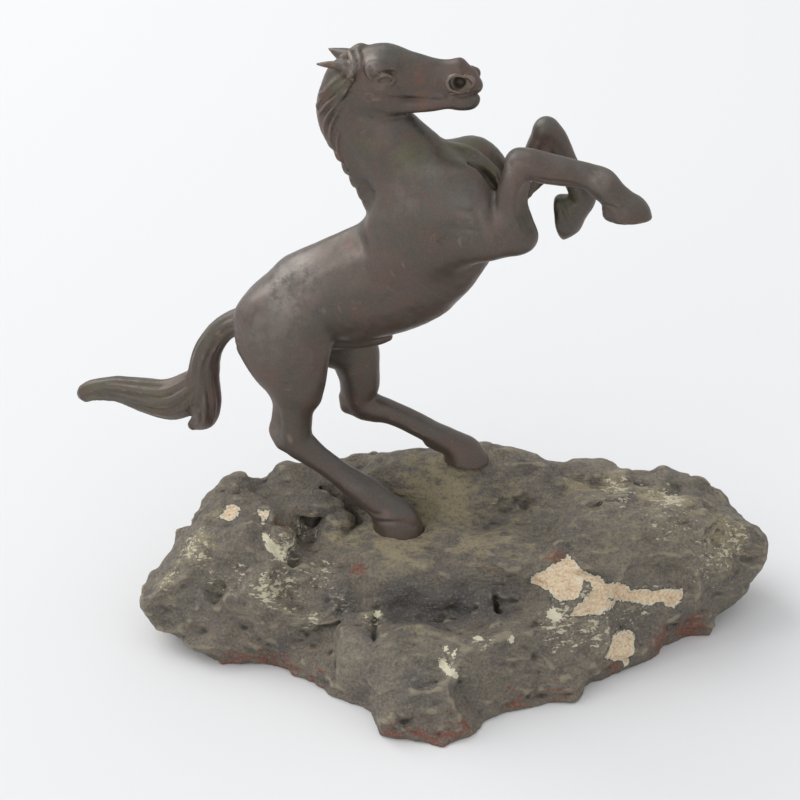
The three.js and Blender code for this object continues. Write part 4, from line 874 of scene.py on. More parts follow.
REDDENED = [
    (-8, -8, 303, 13, 0.7), (-6, -6, 288, 9, 0.8), (-18, -8, 302, 8, 0.5), (16, -5, 302, 7, 0.7),
    (60, -17, 262, 14, 0.6), (22, -26, 243, 6, 0.7), (32, -24, 232, 14, 0.5), (-58, -20, 160, 12, 0.6),
    (-62, -18, 138, 11, 0.5), (36, -22, 240, 7, 0.8), (-78, -17, 104, 7, 0.6), (-50, -17, 86, 9, 0.5),
    (-13, -22, 58, 12, 0.6), (-52, 17, 112, 9, 0.7), (-40, 17, 130, 8, 0.6), (8, 10, 88, 8, 0.6),
    (-34, -22, 176, 18, 0.5), (50, 14, 262, 9, 0.6), (-50, -9, 305, 5, 0.8), (-66, -20, 190, 18, 0.4),
    (0, -26, 232, 14, 0.5), (-20, -22, 214, 16, 0.4), (-16, -17, 254, 12, 0.4),
]
WORN_AND_HIGHLIT = [
    (-72, -17, 188, 15, 1), (-66, -12, 198, 12, 0.8), (-29, -10, 307, 4, 1), (40, -23, 267, 5, 0.8),
    (83, -22, 267, 5, 0.9), (-38, -9, 307, 4, 0.8), (19, -7, 304, 3, 0.9), (-83, -24, 168, 16, 0.4),
    (-80, -20, 106, 6, 0.5), (-100, 0, 160, 8, 0.5), (28, -24, 240, 10, 0.3), (-12, -20, 246, 9, 0.3),
    (52, 17, 274, 5, 0.5), (-42, 6, 306, 4, 0.5), (8, -8, 303, 2.5, 0.8), (-46, 7, 305, 4, 0.5),
]


def spots(rows, x, y, z):
    """How far a place lies within any of some spots of x, y, z, reach and strength."""
    found = 0
    for sx, sy, sz, reach, strength in rows:
        apart = (x - sx) ** 2 + (y - sy) ** 2 + (z - sz) ** 2
        found = np.maximum(found, strength * np.exp(-apart / reach**2))
    return found


mark(horse, "fold", clay.sample(clay.shelter(FOLD_REACH), places))
mark(horse, "bay", clay.sample(clay.shelter(BAY_REACH), places))
for name, rows in (("greened", GREENED), ("reddened", REDDENED), ("worn_and_highlit", WORN_AND_HIGHLIT)):
    mark(horse, name, spots(rows, *places.T))

bronze, place, fold, bay, greened, reddened, worn_and_highlit = surface(
    "patinated bronze", ("fold", "bay", "greened", "reddened", "worn_and_highlit")
)
normal = add_node(place.id_data, "ShaderNodeTexCoord").outputs["Normal"]
facing = add_node(place.id_data, "ShaderNodeSeparateXYZ", {0: normal}).outputs["Z"]
broad = mottled(place, 0.028, 5)
worn = mottled(place, 0.012, 6)
fine = mottled(place, 0.005, 6)
grain = mottled(place, 0.0011, 4)
# Dust and a painted sheen: faces that look up are coated a paler slate grey
dust_and_sheen = times(ramped(facing, 0.15, 0.9), ramped(broad, 0.36, 0.6, 0.3, 0.7))
green = times(greened, ramped(fine, 0.3, 0.62, 0.3, 1))
red = times(reddened, ramped(fine, 0.38, 0.62, 0.1, 1))
brown = mixed(ramped(broad, 0.38, 0.62), colour("5c4f48"), colour("534d46"))
base = coated(brown, [
    (ramped(fine, 0.45, 0.65, 0, 0.3), "66564f"),
    (times(dust_and_sheen, ramped(fine, 0.3, 0.7, 0.55, 0.95)), "646460"),
    (ramped(green, 0.15, 0.9, 0, 0.8), "5f5c47"),
    (ramped(worn, 0.5, 0.66, 0, 0.3), "694b40"),
    # Worn spots with a painted highlight: pale grey where the casting is rubbed
    (times(worn_and_highlit, ramped(fine, 0.36, 0.62, 0.3, 0.75)), "8f8883"),
    (ramped(red, 0.15, 0.9, 0, 0.65), "735243"),
    (ramped(bay, 0.58, 0.8, 0, 0.6), "4c483a"),
    # Painted shade: deep folds and creases are darkened nearly to black
    (ramped(fold, 0.56, 0.66, 0, 0.85), "38342a"),
    (ramped(fold, 0.43, 0.34, 0, 0.5), "8a7768"),
    (ramped(grain, 0.52, 0.7, 0, 0.12), "857f70"),
    (ramped(grain, 0.48, 0.32, 0, 0.18), "453c36"),
    (times(speckled_with(place, 0.0022, 0.08), 0.5), "aba691"),
])
roughness = times(ramped(fine, 0.3, 0.7, 0.34, 0.52), ramped(worn_and_highlit, 0, 1, 1, 0.6))
clad(horse, bronze, base, roughness, varied(grain, fine, 1.5), 0.22, 0.0004, metallic=0.5)

# Rock plinth
# A rough lump modelled in hard plaster, painted dark olive brown, and chipped so that the
# pale plaster shows. The hooves stand in two shallow seats in its top.
LIP_HEIGHT = 15
LIP_EDGE = 9
LEDGE_SLOPE = 0.38
LEDGE_REACH = 60
WAIST_HEIGHT = 8
SIDE_LEAN = 0.12
UNDERCUT = 0.06
WAVE_DEPTH = 1.1
WAVE_SHARE = 0.14
WAVE_WARP = 6
CALM_SHARE = 0.75
SEAT_GAP = 0.3
NEAR_ROOM = 0.9
FAR_ROOM = 1.8
SEAT_HEIGHT = 14
SEAT_EDGE = 0.6
SEAT_REACH = 20
ROCK_BACK = 74.6
ROCK_CELL = 1.0
ROCK_TRIANGLES = 196000
FOOT_HEIGHT = 6
PLAIN_SHARE = 0.5

# Ground outline, anticlockwise from its left end, seen from above
GROUND = np.array([
    (-93, -33), (-68, -34), (-57, -39), (-41, -52), (-24, -67), (-15, -73), (-11.5, -92),
    (5, -97.5), (20, -98.5), (34, -91), (45, -77), (66, -69), (86, -62), (103, -49), (120, -34),
    (134, -26), (139, -17), (166, -11), (172, 3), (168, 22), (150, 38), (100, 50), (40, 54),
    (-30, 52), (-80, 38), (-112, 16), (-110, -10),
])

# Lumps and hollows: centre, half-sizes, blend, turn about the upright and tilt along the length
LUMPS = [
    ((25, 12, 28), (106, 42, 27), 12, 0, 0),
    ((30, 50, 52), (64, 22, 27.5), 12, 0, 0),
    ((-2, 12, 40), (26, 20, 17), 8, 0, 0),
    ((37, 43, 58), (22, 18, 22), 6, 0, 0),
    ((67, 51, 62), (17, 15, 15.5), 6, 0, 0),
    ((-20, 46, 48), (50, 18, 24), 10, 0, 0),
    ((-48, 44, 48), (30, 18, 23), 8, 0, 0),
    ((-62, 42, 50), (16, 16, 21.5), 5, 0, 0),
    ((112, 22, 34), (62, 44, 34), 12, -6, 6),
    ((92, 50, 44), (44, 16, 24), 8, -4, 6),
    ((138, 50, 42), (40, 16, 22), 8, -4, 6),
    ((158, 30, 28), (36, 32, 27), 10, -12, 10),
    ((172, 20, 22), (22, 24, 18), 8, -20, 12),
    ((177, 26, 39), (17, 20, 14.5), 6, -10, 0),
    ((60, -8, 28), (70, 30, 26), 12, -6, 0),
    ((100, -12, 24), (60, 30, 24), 12, 20, 0),
    ((20, -62, 14), (34, 28, 17), 10, 10, 0),
    ((-4, -44, 20), (26, 24, 14), 8, -40, 0),
    ((62, -46, 16), (44, 24, 17), 10, 18, 0),
    ((-78, 14, 40), (32, 32, 28), 9, 20, 0),
    ((-86, 34, 52), (15.5, 18, 18), 6, 10, 0),
    ((-98, 14, 36), (22, 26, 22), 8, 60, 0),
    ((-104, -2, 22), (32, 26, 20), 9, 30, 0),
    ((-98, -10, 12), (22, 21, 16), 8, 0, 0),
    ((-116, 2, 18), (19, 16, 13), 7, 10, -10),
    ((-111, 7, 33), (17, 20, 18), 6, 30, 0),
    ((-56, -8, 26), (40, 26, 26), 9, 0, 0),
    ((-62, 14, 46), (11, 12, 13), 4, 0, 0),
    ((-34, 10, 38), (18, 18, 17), 7, -30, 0),
]
HOLLOWS = [
    ((16, -36, 46), (54, 13, 16), 9, 8, 0),
    ((50, -28, 36), (3.2, 7, 11), 3, 10, 0),
    ((-75, 44, 72), (2.4, 20, 8), 3, 0, 0),
    ((8, -66, 34), (30, 4, 6), 6, -12, 0),
]

# Smaller stones and pockets, set on and cut into the lumps in the same way
STONES = [
    ((-64, -1, 55), (11, 8, 9.5), 1.2, 25, 0),
    ((-34, 20, 50), (12, 12, 12), 2, 10, 0),
    ((6, -50, 21), (23, 21, 13.5), 3, -25, 0),
    ((-84, 22, 60), (16, 12, 7), 1.5, 10, 0),
    ((-50, 28, 60), (22, 11, 7), 1.5, -10, 0),
    ((103, 52, 62), (18, 13, 8.5), 1.2, 0, 0),
    ((160, 44, 56), (17, 12, 8.5), 1.2, -10, 10),
    ((150, 16, 54), (20, 16, 8), 2, -20, 12),
    ((128, -14, 36), (30, 10, 7), 3, 8, 0),
    ((70, -50, 28), (26, 10, 7), 3, 14, 0),
    ((-78, -24, 30), (18, 8, 12), 4, -12, 20),
]
POCKETS = [
    ((-50, 9, 54), (3.6, 6, 6.5), 4, -15, 0),
    ((-55, -9, 50), (3.5, 5, 6), 1.5, -20, 0),
    ((-13, -42, 35), (2.4, 16, 9), 2.5, 0, 0),
    ((14, -31, 33), (28, 3, 4.5), 2.5, 6, 0),
    ((10, -82, 27), (14, 3, 3.4), 1.5, -8, 0),
    ((106, -22, 50), (17, 3, 3), 1.5, 4, 0),
    ((-76, 4, 68), (13, 3, 4), 2, -14, 0),
    ((134, 54, 71), (12, 24, 9), 1.5, 0, 0),
]

# Faces that the modeller's knife left: a place on each, the way it looks, and its reach
FACETS = [
    ((-115, 0, 47), (-0.71, -0.06, 0.7), 26), ((-95, -28, 26), (-0.31, -0.86, 0.41), 30),
    ((-62, -32, 30), (0.05, -0.93, 0.36), 18), ((6, -66, 29), (0.06, -0.26, 0.96), 18),
    ((14, -88, 18), (0.1, -0.9, 0.42), 16), ((50, -66, 20), (0.35, -0.8, 0.48), 22),
    ((88, -44, 32), (0.28, -0.78, 0.55), 20), ((104, 10, 66.5), (0.02, -0.08, 1), 24),
    ((132, -22, 30), (0.3, -0.85, 0.43), 22), ((170, 4, 44), (0.66, -0.58, 0.48), 16),
    ((168, 32, 58), (0.38, 0.1, 0.92), 16), ((-44, -20, 41), (-0.1, -0.8, 0.6), 14),
    ((60, 6, 58), (0.05, -0.1, 1), 22), ((-90, 18, 64), (-0.3, -0.25, 0.92), 13),
]
FACET_EDGE = 1.2
FACET_LIFT = 0.7
FACET_SPREAD = 1.6

# Rolling unevenness: wave directions in radians per millimetre, and phases
WAVES = [
    ((0.09, 0.05, 0.11), 0.4), ((-0.07, 0.13, 0.06), 1.9), ((0.15, -0.1, 0.09), 3.1),
    ((0.05, 0.17, -0.14), 5), ((0.21, 0.12, 0.16), 0.7), ((-0.19, 0.2, 0.13), 2.2),
]

# Where the paint has come off in flakes. The outlines are drawn on a sheet held square to a
# look from 30 degrees above the front: along the length, and up the sheet.
CHIPS = [
    [
        (67.5, 29.5), (71, 32), (75, 34), (78, 36.5), (83, 38.5), (87, 41), (89.5, 38.5), (92, 36),
        (93.5, 33.5), (97, 32), (100, 30), (97.5, 28.5), (94, 28.5), (92.5, 25), (90, 21), (84.5, 19.5),
        (80, 19.5), (77, 23.5), (72, 25.5), (68.5, 26.5),
    ],
    [
        (97, 31), (103, 30), (105, 27), (112, 27.5), (118, 24.5), (119, 22), (125, 22.5), (134, 22),
        (142, 23), (147.5, 22.5), (147, 18), (144, 13.5), (139.5, 13.5), (136.5, 16.5), (130, 15),
        (124, 16), (117, 17), (112, 18.5), (105, 20.5), (111, 17), (109.5, 15), (102, 12), (96, 11.5),
        (87, 12), (88.5, 15), (94, 19), (98, 25),
    ],
    [
        (112, 2), (119.5, 1.5), (121, -2), (120, -5), (121.5, -9), (118, -12), (117, -16), (115.5, -13),
        (109.5, -12.5), (105.5, -10.5), (107.5, -6), (109, -1.5),
    ],
    [
        (-96, 59.5), (-93, 62), (-91.5, 65.5), (-88, 66), (-84.5, 63.5), (-86, 60), (-90, 58.5),
    ],
    [
        (-75, 63.5), (-71, 63), (-68.5, 63.5), (-69.5, 60.5), (-71.5, 56.5), (-73, 59.5),
    ],
]
SHEET_TILT = math.radians(30)
CHIP_BACK = -10
CHIP_DEPTH = 0.8
CHIP_EDGE = 1.2
CHIP_RAGGED = 0.5
CHIP_GRAIN = 0.4
CHIPS_LOW = np.array([60, -62, 0])
CHIPS_HIGH = np.array([152, 0, 62])

# Flakes gone down to a creamy ground coat: x, y, z and radius of each dab
FLAKES = [
    [(-70, -4, 61, 1.4), (-66, -8, 56, 2.8), (-60, -13, 53, 2.4)],
    [(-59, -8, 53, 2), (-57, -2, 56, 1.4)], [(23, -60, 30, 1.9), (22, -62, 30, 1)],
    [(28, -63, 30, 1.6), (26, -66, 29, 1)],
    [(21, -68, 27, 1.5), (25, -75, 27, 2.1), (31, -77, 26, 1.7)],
    [(-13, -27, 33, 1.6), (-12, -31, 30, 1.6)], [(77, -41, 38, 2.6), (80, -42, 37, 2)],
    [(57, -56, 33, 2.3), (59, -57, 32, 1.5)], [(39, -55, 33, 1.8), (40, -56, 33, 1.4)],
    [(75, -65, 23, 2), (76, -66, 22, 1.2)], [(56, -74, 16, 1.3), (57, -74, 16, 1)],
    [(0, -80, 18, 0.9), (1, -80, 18, 0.9)],
]

# Where the finish varies, and where shade is painted into the undercuts and hollows: x, y, z, reach and
# strength
SPECKLED = [
    (-84, -16, 45, 13, 0.6), (-67, -27, 43, 13, 0.9), (-51, -33, 38, 11, 1), (-46, -33, 28, 9, 0.8),
    (-42, -12, 39, 14, 0.8), (-37, -7, 47, 9, 0.6), (-60, -6, 54, 12, 0.9), (-49, 13, 54, 9, 0.9),
    (-106, 0, 50, 15, 0.8), (-122, -12, 38, 12, 0.6), (81, -44, 37, 13, 0.9), (102, -46, 32, 15, 0.9),
    (81, -52, 30, 14, 0.7), (120, 30, 66, 26, 0.6), (140, 10, 60, 26, 0.6), (162, 0, 45, 22, 0.6),
    (-13, -35, 30, 9, 0.7), (25, -68, 28, 9, 0.7), (130, -22, 34, 14, 0.6), (70, 30, 60, 26, 0.3),
    (-60, -24, 44, 15, 0.8), (-30, -28, 36, 11, 0.6), (118, -34, 32, 12, 0.8), (90, -52, 30, 13, 0.8),
    (142, 26, 66, 15, 1), (116, 36, 67, 12, 0.9), (176, 20, 44, 14, 0.9), (96, -34, 40, 14, 0.9),
    (172, 4, 44, 12, 0.8), (-96, -18, 42, 10, 0.6), (40, -58, 32, 10, 0.6),
]
DUSTY = [
    (168, 15, 46, 22, 0.8), (110, 10, 64, 34, 0.45), (60, 0, 58, 26, 0.5), (140, 10, 58, 24, 0.5),
    (21, 28, 62, 28, 1), (0, -2, 54, 21, 0.9), (-26, 9, 56, 18, 0.7), (42, -1, 56, 20, 0.8),
    (21, 38, 72, 22, 0.9), (64, 25, 60, 20, 0.5), (96, 37, 66, 9, 1), (118, 38, 66, 12, 0.9),
    (133, 28, 65, 13, 1), (151, 22, 66, 12, 0.9), (-106, 0, 52, 12, 0.8), (-122, -14, 38, 10, 0.7),
    (-97, 18, 62, 8, 0.6), (10, -45, 33, 14, 0.6), (-67, -27, 43, 9, 0.5),
]
RUSTY = [
    (-87, -36, 3, 13, 1), (-55, -38, 2, 11, 1), (-70, -37, 3, 12, 1), (-40, -46, 3, 12, 0.8),
    (15, -98, 4, 13, 0.9), (28, -97, 5, 12, 1), (-2, -95, 4, 10, 0.9), (60, -74, 6, 11, 0.8),
    (78, -66, 8, 10, 0.8), (112, -46, 6, 10, 0.9), (138, -26, 8, 13, 1.2), (155, -14, 8, 12, 1.2),
    (83, -13, 56, 9, 0.8), (-23, -14, 48, 7, 0.9), (-63, 1, 61, 11, 0.7), (-30, -20, 42, 16, 0.4),
    (45, -10, 50, 14, 0.3), (-95, -25, 22, 16, 0.35),
]
SHADE_SPOTS = [
    (12, -86, 22, 18, 0.6), (34, -78, 20, 16, 0.5), (15, -33, 33, 15, 1), (-31, -26, 36, 13, 0.9),
    (0, -26, 35, 15, 1), (31, -28, 36, 15, 1), (50, -30, 36, 13, 1), (-61, -35, 13, 9, 0.9),
    (7, -79, 26, 7, 1), (-13, -50, 30, 7, 1), (-49, 12, 54, 7, 1), (60, -30, 44, 12, 0.7),
    (120, -36, 22, 10, 0.7), (150, -22, 20, 10, 0.8), (40, -80, 8, 10, 0.5), (106, -24, 48, 8, 0.7),
    (45, -50, 34, 12, 0.4),
]


def outline_distance(outline, x, y):
    """Distance from a closed outline, negative inside it."""
    nearest = np.full(np.broadcast(x, y).shape, 1e9)
    inside = np.zeros(nearest.shape, bool)
    for a, b in zip(outline, np.roll(outline, -1, 0)):
        edge = b - a
        s = np.clip(((x - a[0]) * edge[0] + (y - a[1]) * edge[1]) / (edge @ edge), 0, 1)
        nearest = np.minimum(nearest, np.hypot(x - a[0] - s * edge[0], y - a[1] - s * edge[1]))
        if a[1] != b[1]:
            crosses = ((a[1] <= y) != (b[1] <= y)) & (x < a[0] + (y - a[1]) / edge[1] * edge[0])
            inside ^= crosses
    return np.where(inside, -nearest, nearest)


def lump_distance(x, y, z, at, half, turn, tilt):
    """Distance to an egg-shaped lump, negative inside it."""
    ct, st = math.cos(math.radians(turn)), math.sin(math.radians(turn))
    cl, sl = math.cos(math.radians(tilt)), math.sin(math.radians(tilt))
    along = (x - at[0]) * ct + (y - at[1]) * st
    across = -(x - at[0]) * st + (y - at[1]) * ct
    place = (along * cl + (z - at[2]) * sl, across, -along * sl + (z - at[2]) * cl)
    scaled = np.sqrt(sum((p / h) ** 2 for p, h in zip(place, half)))
    steep = np.sqrt(sum((p / h**2) ** 2 for p, h in zip(place, half)))
    return scaled * (scaled - 1) / np.maximum(steep, 1e-6)


def pile(shapes, hollow):
    """Adds lumps to the rock, or cuts hollows out of it."""
    for at, half, blend, turn, tilt in shapes:
        reach = max(half) + blend + 3
        part, spot = rock_clay.block(np.array(at) - reach, np.array(at) + reach)
        distance = lump_distance(*spot, at, half, turn, tilt)
        rock_clay.merge(part, distance, blend, hollow)


def shave(at, way, reach):
    """Cuts a flat face on the rock, which runs out beyond its reach."""
    way = unit(way)
    spread = FACET_SPREAD * reach
    part, (x, y, z) = rock_clay.block(np.array(at) - spread, np.array(at) + spread)
    above, apart = from_plane(x, y, z, at, way)
    plane = above - FACET_LIFT * np.maximum(np.sqrt(apart) - reach, 0)
    rock_clay.values[part] = smooth_max(rock_clay.values[part], plane, FACET_EDGE)


def chip_distance(x, y, z):
    """Distance from the nearest chip's edge on the skin, negative inside it."""
    up = z * math.cos(SHEET_TILT) + y * math.sin(SHEET_TILT)
    away = y * math.cos(SHEET_TILT) - z * math.sin(SHEET_TILT)
    found = np.full(np.broadcast(x, up).shape, FAR_AWAY)
    for chip in CHIPS:
        found = np.minimum(found, outline_distance(np.array(chip, float), x, up))
    return np.where(away < CHIP_BACK, found, FAR_AWAY)


rock_clay = Clay([-146, -110, -9], [208, 76, 92], ROCK_CELL)
_, (x, y, z) = rock_clay.block(rock_clay.low, rock_clay.low + rock_clay.count * ROCK_CELL)
edge = outline_distance(GROUND, x[..., 0], y[..., 0])[..., None]
top = LIP_HEIGHT + np.clip(-edge, 0, LEDGE_REACH) * LEDGE_SLOPE
side = edge + SIDE_LEAN * np.maximum(z - WAIST_HEIGHT, 0) - UNDERCUT * np.maximum(WAIST_HEIGHT - z, 0)
rock_clay.values = smooth_max(side, z - top, LIP_EDGE).astype(np.float32)
pile(LUMPS, False)
pile(HOLLOWS, True)
wx = x + WAVE_WARP * np.sin(0.05 * y + 0.8)
wy = y + WAVE_WARP * np.sin(0.045 * x + 2)
waves = sum(
    WAVE_SHARE * np.sin(w[0] * wx + w[1] * wy + w[2] * z + phase) / math.hypot(*w)
    for w, phase in WAVES
)
rock_clay.values += (WAVE_DEPTH * waves).astype(np.float32)
pile(STONES, False)
pile(POCKETS, True)

for at, way, reach in FACETS:
    shave(at, way, reach)

# Crags: ledges that break off, sharp ridges with smaller ones on them, crumbs and grit. The
# surface is calm where the horse stands. A ridge has a size, a height and a seed.
CALM = [(22, 25, 62, 34, 1), (0, -2, 56, 24, 1), (45, 8, 57, 24, 0.9)]
RIDGES = [(19, 0.9, 12), (10, 0.8, 13), (5.5, 0.6, 16)]
RIDGE_CREST = 0.8
NEXT_SHARE = 0.75
NEXT_GAIN = 0.5
NEXT_LEAST = 0.3
NEXT_MOST = 1.2
LEDGE_HEIGHT = 0.5
LEDGE_EASE = 0.2
CRUMB_HEIGHT = 0.36
GRIT_HEIGHT = 0.2
calm = 1 - CALM_SHARE * np.clip(spots(CALM, x, y, z), 0, 1)
relief = LEDGE_HEIGHT * np.tanh(rock_clay.noise(24, 11, (1.5, 1, 0.8)) / LEDGE_EASE)
share = 1
for size, height, seed in RIDGES:
    ridge = RIDGE_CREST - np.abs(rock_clay.noise(size, seed, (1.3, 1, 0.8)))
    relief -= height * share * ridge
    share = np.clip(NEXT_SHARE + NEXT_GAIN * ridge, NEXT_LEAST, NEXT_MOST)
crumbs = rock_clay.noise(2.6, 14, (2, 1.2, 0.9))
relief += CRUMB_HEIGHT * crumbs + GRIT_HEIGHT * rock_clay.noise(2, 15, (1.5, 1, 1))
rock_clay.values += (calm * relief).astype(np.float32)

# Creases and ridges that the modeller pressed and pulled: x, y, z and strength along each
# one, its width, and its depth, which is negative for a ridge
TOOL_MARKS = [
    ([
        (-128, -18, 29, 0.5), (-116, -15, 39, 1), (-105, -9, 49, 1), (-103, 0, 56, 1),
        (-107, 11, 56, 0.5),
    ], 3, -1.6),
    ([(-124, -24, 28, 0.4), (-111, -20, 38, 1), (-100, -14, 48, 1), (-98, -4, 56, 0.5)], 2.4, 1.3),
    ([
        (-100, -11, 46, 0.5), (-88, -16, 44, 1), (-73, -24, 44, 1), (-65, -28, 39, 1),
        (-58, -32, 30, 1), (-46, -33, 27, 0.5),
    ], 3, -1.5),
    ([
        (-72, 7, 68, 0.8), (-69, -2, 63, 1), (-64, -8, 55, 1), (-58, -13, 50, 1), (-50, -8, 49, 0.8),
    ], 1.6, 1.8),
    ([(-43, -20, 42, 0.6), (-37, -6, 47, 1), (-30, 4, 54, 1), (-21, 24, 52, 0.6)], 2, 1.5),
    ([
        (-37, -4, 48, 0.5), (-19, -10, 50, 1), (0, -13, 48, 1), (21, -18, 46, 1), (41, -22, 39, 0.8),
    ], 3, -1.2),
    ([(-12, -27, 32, 1), (-12, -33, 29, 1), (-12, -41, 26, 0.6)], 1.6, 1.6),
    ([(-9, -28, 31, 0.5), (10, -27, 32, 1), (26, -40, 28, 1), (40, -58, 29, 0.6)], 1.8, 1),
    ([(44, -62, 30, 0.4), (60, -56, 31, 1), (79, -50, 31, 1), (98, -42, 30, 0.5)], 2.2, 1.1),
    ([(66, -66, 14, 0.6), (79, -61, 16, 1), (90, -56, 17, 0.7)], 1.8, 1.4),
    ([(120, -24, 32, 0.4), (138, -16, 33, 1), (156, -4, 34, 0.8), (168, 4, 36, 0.5)], 2.4, -1.2),
    ([(84, 0, 60, 0.4), (100, 6, 64, 1), (115, 7, 66, 1), (135, 10, 66, 1), (158, 8, 61, 0.5)], 2.2, -1),
    ([(96, 14, 66, 0.4), (116, 20, 67, 1), (132, 18, 66, 1), (150, 26, 62, 0.5)], 2.4, 1.2),
    ([(-52, 44, 66, 0.4), (-44, 34, 66, 1), (-34, 30, 62, 0.6)], 1.8, 1.4),
]
for marks, width, depth in TOOL_MARKS:
    path = smooth_path([(*place[:3], 0, 1, place[3]) for place in marks])
    rock_clay.score(path, width, depth)

# Chips broken out of the paint and the skin of the plaster
part, spot = rock_clay.block(CHIPS_LOW, CHIPS_HIGH)
sunk = np.clip(0.5 - (chip_distance(*spot) + CHIP_RAGGED * crumbs[part]) / CHIP_EDGE, 0, 1)
rock_clay.values[part] += (CHIP_DEPTH * sunk * (1 + CHIP_GRAIN * crumbs[part])).astype(np.float32)

# Seats of the two hind hooves
for sole, down, room in ((NEAR_SOLE, NEAR_DOWN, NEAR_ROOM), (FAR_SOLE, FAR_DOWN, FAR_ROOM)):
    c, s = math.cos(HORSE_YAW), math.sin(HORSE_YAW)
    turn = np.array([[c, -s, 0], [s, c, 0], [0, 0, 1]])
    up = turn @ -unit(down)
    across = unit(np.cross(up, turn @ [1, 0, 0]))
    ahead = np.cross(across, up)
    at = turn @ sole + HORSE_AT
    part, spot = rock_clay.block(at - SEAT_REACH, at + SEAT_REACH)
    local = [sum((spot[i] - at[i]) * way[i] for i in range(3)) for way in (ahead, across, up)]
    radius = HOOF_SOLE + room
    wall = np.sqrt(local[0] ** 2 + (local[1] / HOOF_FLAT) ** 2) - radius
    seat = np.maximum(wall, np.maximum(-SEAT_GAP - local[2], local[2] - SEAT_HEIGHT))
    rock_clay.merge(part, seat, SEAT_EDGE, True)

# Cut flat below, and just inside the grid at the back
rock_clay.values = np.maximum(rock_clay.values, np.maximum(-z, y - ROCK_BACK))

rock, places = cast("rock_plinth", rock_clay, ROCK_TRIANGLES, 0, -MIDDLE)
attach(rock, "root")
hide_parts("rock_base")

x, y, z = places.T
flake = np.full(len(places), FAR_AWAY)
for dabs in FLAKES:
    for a, b in zip(dabs, dabs[1:]):
        a, b = np.array([*a, 1], float), np.array([*b, 1], float)
        flake = np.minimum(flake, cone_distance(x, y, z, a, b, (0, 1, 0)))
fold = rock_clay.sample(rock_clay.shelter(FOLD_REACH), places)
# Along the foot the fold is raised to a plain's value, so the painted highlight on edges does not run along
# the bottom
mark(rock, "fold", np.where(z < FOOT_HEIGHT, np.maximum(fold, PLAIN_SHARE), fold))
mark(rock, "chip", chip_distance(x, y, z))
mark(rock, "flake", flake)
for name, rows in (("speckled", SPECKLED), ("dusty", DUSTY), ("rusty", RUSTY), ("painted_shade", SHADE_SPOTS)):
    mark(rock, name, spots(rows, x, y, z))

paint, place, fold, chip, flake, speckled, dusty, rusty, painted_shade = surface(
    "painted plaster rock", ("fold", "chip", "flake", "speckled", "dusty", "rusty", "painted_shade")
)
strewn_way = add_node(place.id_data, "ShaderNodeMapping", {
    "Vector": place, "Rotation": (0.2, 0.35, -0.35), "Scale": (0.55, 1, 1.5),
}).outputs[0]
broad = mottled(place, 0.03, 7)
fine = mottled(strewn_way, 0.005, 7)
grit = mottled(place, 0.0014, 4)
stain = calculated("ADD", fine, -0.5)
crack = ramped(calculated("ABSOLUTE", stain), 0.014, 0.004)
crack = times(crack, ramped(speckled, 0.15, 0.7))
olive = mixed(ramped(broad, 0.38, 0.62), colour("706960"), colour("81786b"))
base = coated(olive, [
    (ramped(fine, 0.46, 0.66, 0, 0.45), "918874"),
    (ramped(fine, 0.46, 0.32, 0, 0.4), "544e46"),
    (ramped(varied(dusty, stain, 2.2), 0.3, 0.95, 0, 0.85), "a39778"),
    # Painted shade: a dark grey in the undercut band and the hollows
    (ramped(varied(painted_shade, stain, 1.2), 0.2, 0.9, 0, 0.75), "535152"),
    (ramped(varied(rusty, stain, 3.4), 0.45, 1.1, 0, 0.8), "845040"),
    (ramped(grit, 0.52, 0.68, 0, 0.35), "a79e88"),
    (ramped(grit, 0.48, 0.34, 0, 0.4), "3c3935"),
    # Painted shade: folds and crevices are darkened
    (ramped(fold, 0.53, 0.66, 0, 0.85), "35322d"),
    # Dust and a painted highlight: convex edges are lightened
    (ramped(fold, 0.46, 0.38, 0, 0.55), "aca188"),
    (times(speckled_with(strewn_way, 0.0026, speckled), 0.95), "d6cdb2"),
    (times(speckled_with(place, 0.0016, 0.3), 0.6), "bab29a"),
    (times(crack, ramped(grit, 0.4, 0.6, 0.2, 0.8)), "bdb59d"),
])

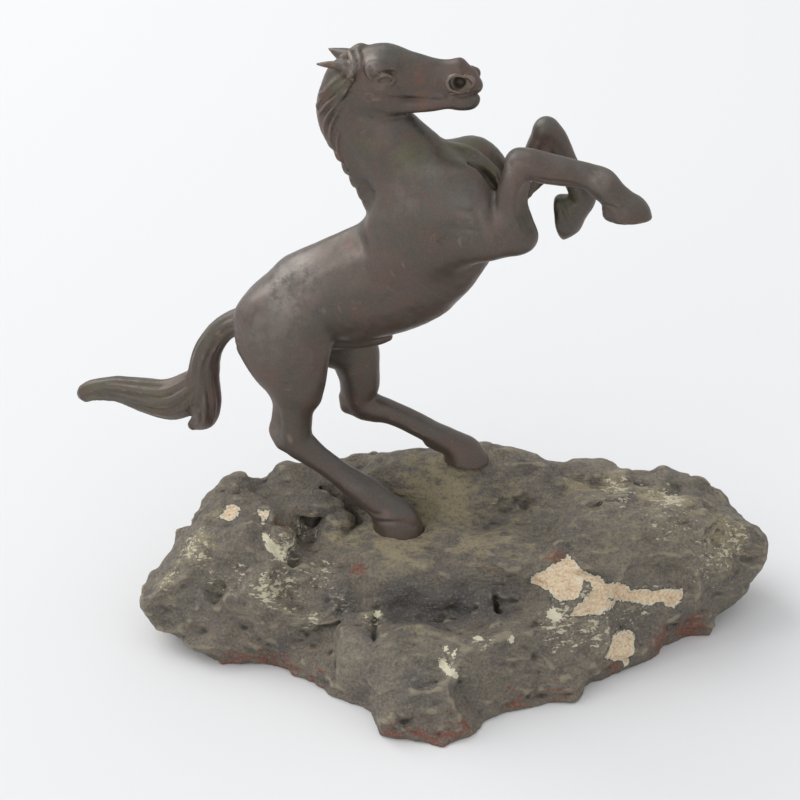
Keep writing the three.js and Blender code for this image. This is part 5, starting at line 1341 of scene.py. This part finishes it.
# Where the paint is gone, with a ragged edge: plaster in the chips, ground coat in the flakes
wear = varied(times(calculated("ADD", grit, -0.5), 4), stain, 4.5)
ragged = calculated("ADD", chip, wear)
torn = calculated("ADD", flake, wear)
pale = mixed(ramped(grit, 0.3, 0.66), colour("d9b38e"), colour("f5e3c2"))
plaster = coated(pale, [
    (ramped(fine, 0.52, 0.68, 0, 0.7), "f8ecd0"),
    (ramped(grit, 0.36, 0.28, 0, 0.45), "8f7560"),
    (ramped(ragged, -0.9, -0.2), "ebe4cc"),
])
# Painted shade: a dark ring just outside each chip, under the broken edge of the paint
base = coated(base, [(ramped(ragged, 1.4, 0.5, 0, 0.5), "3a3632")])
base = mixed(ramped(ragged, 0.45, 0.25), base, plaster)
base = coated(base, [(ramped(torn, 0.3, 0.1), "e9e3c6")])
roughness = ramped(fine, 0.3, 0.7, 0.62, 0.9)
height = varied(varied(grit, fine, 3), ramped(ragged, 0.1, 0.6), 0.8)
clad(rock, paint, base, roughness, height, 1, 0.0014)

# Studio
# A plain pale floor, a large soft light from the left and a little behind, a weaker one from
# the left front, and a pale room around.
FLOOR_SIZE = 8
PAPER_LOOK = {"Base Color": (0.8, 0.8, 0.8, 1), "Roughness": 0.9, "Specular IOR Level": 0}
ROOM_COLOUR = (0.97, 0.98, 1, 1)
ROOM_STRENGTH = 0.77
LIGHTS_MEET = (0, 0, 0.12)

bpy.ops.mesh.primitive_plane_add(size=FLOOR_SIZE, location=(0, 0, 0))
floor = bpy.context.active_object
floor.name = "studio_floor"
paper = bpy.data.materials.new("pale paper")
paper.use_nodes = True
for title, value in PAPER_LOOK.items():
    paper.node_tree.nodes["Principled BSDF"].inputs[title].default_value = value
floor.data.materials.append(paper)


def soft_light(name, at, size, power):
    """A square light of soft white, aimed at the figurine."""
    light = bpy.data.lights.new(name, "AREA")
    light.size = size
    light.energy = power
    lamp = put(name, light)
    lamp.location = at
    x, y, z = np.array(at) - np.array(LIGHTS_MEET)
    lamp.rotation_euler = (math.atan2(math.hypot(x, y), z), 0, math.atan2(x, -y))


soft_light("window", (-3.6, 1.9, 4.1), 4.8, 195)
soft_light("fill", (-3, -3.6, 1.9), 3.4, 32)

world = bpy.data.worlds.new("pale room")
world.use_nodes = True
world.node_tree.nodes["Background"].inputs["Color"].default_value = ROOM_COLOUR
world.node_tree.nodes["Background"].inputs["Strength"].default_value = ROOM_STRENGTH
bpy.context.scene.world = world

CAMERA_AT = np.array([-10.3, -804.0, 610.5]) * MM
CAMERA_TILT = math.radians(60)
CAMERA_ANGLE = math.radians(24)
lens = bpy.data.cameras.new("camera")
lens.sensor_fit = "HORIZONTAL"
lens.angle = CAMERA_ANGLE
camera = put("camera", lens)
camera.location = CAMERA_AT
camera.rotation_euler = (CAMERA_TILT, 0, 0)
bpy.context.scene.camera = camera
bpy.context.scene.view_settings.view_transform = "Standard"
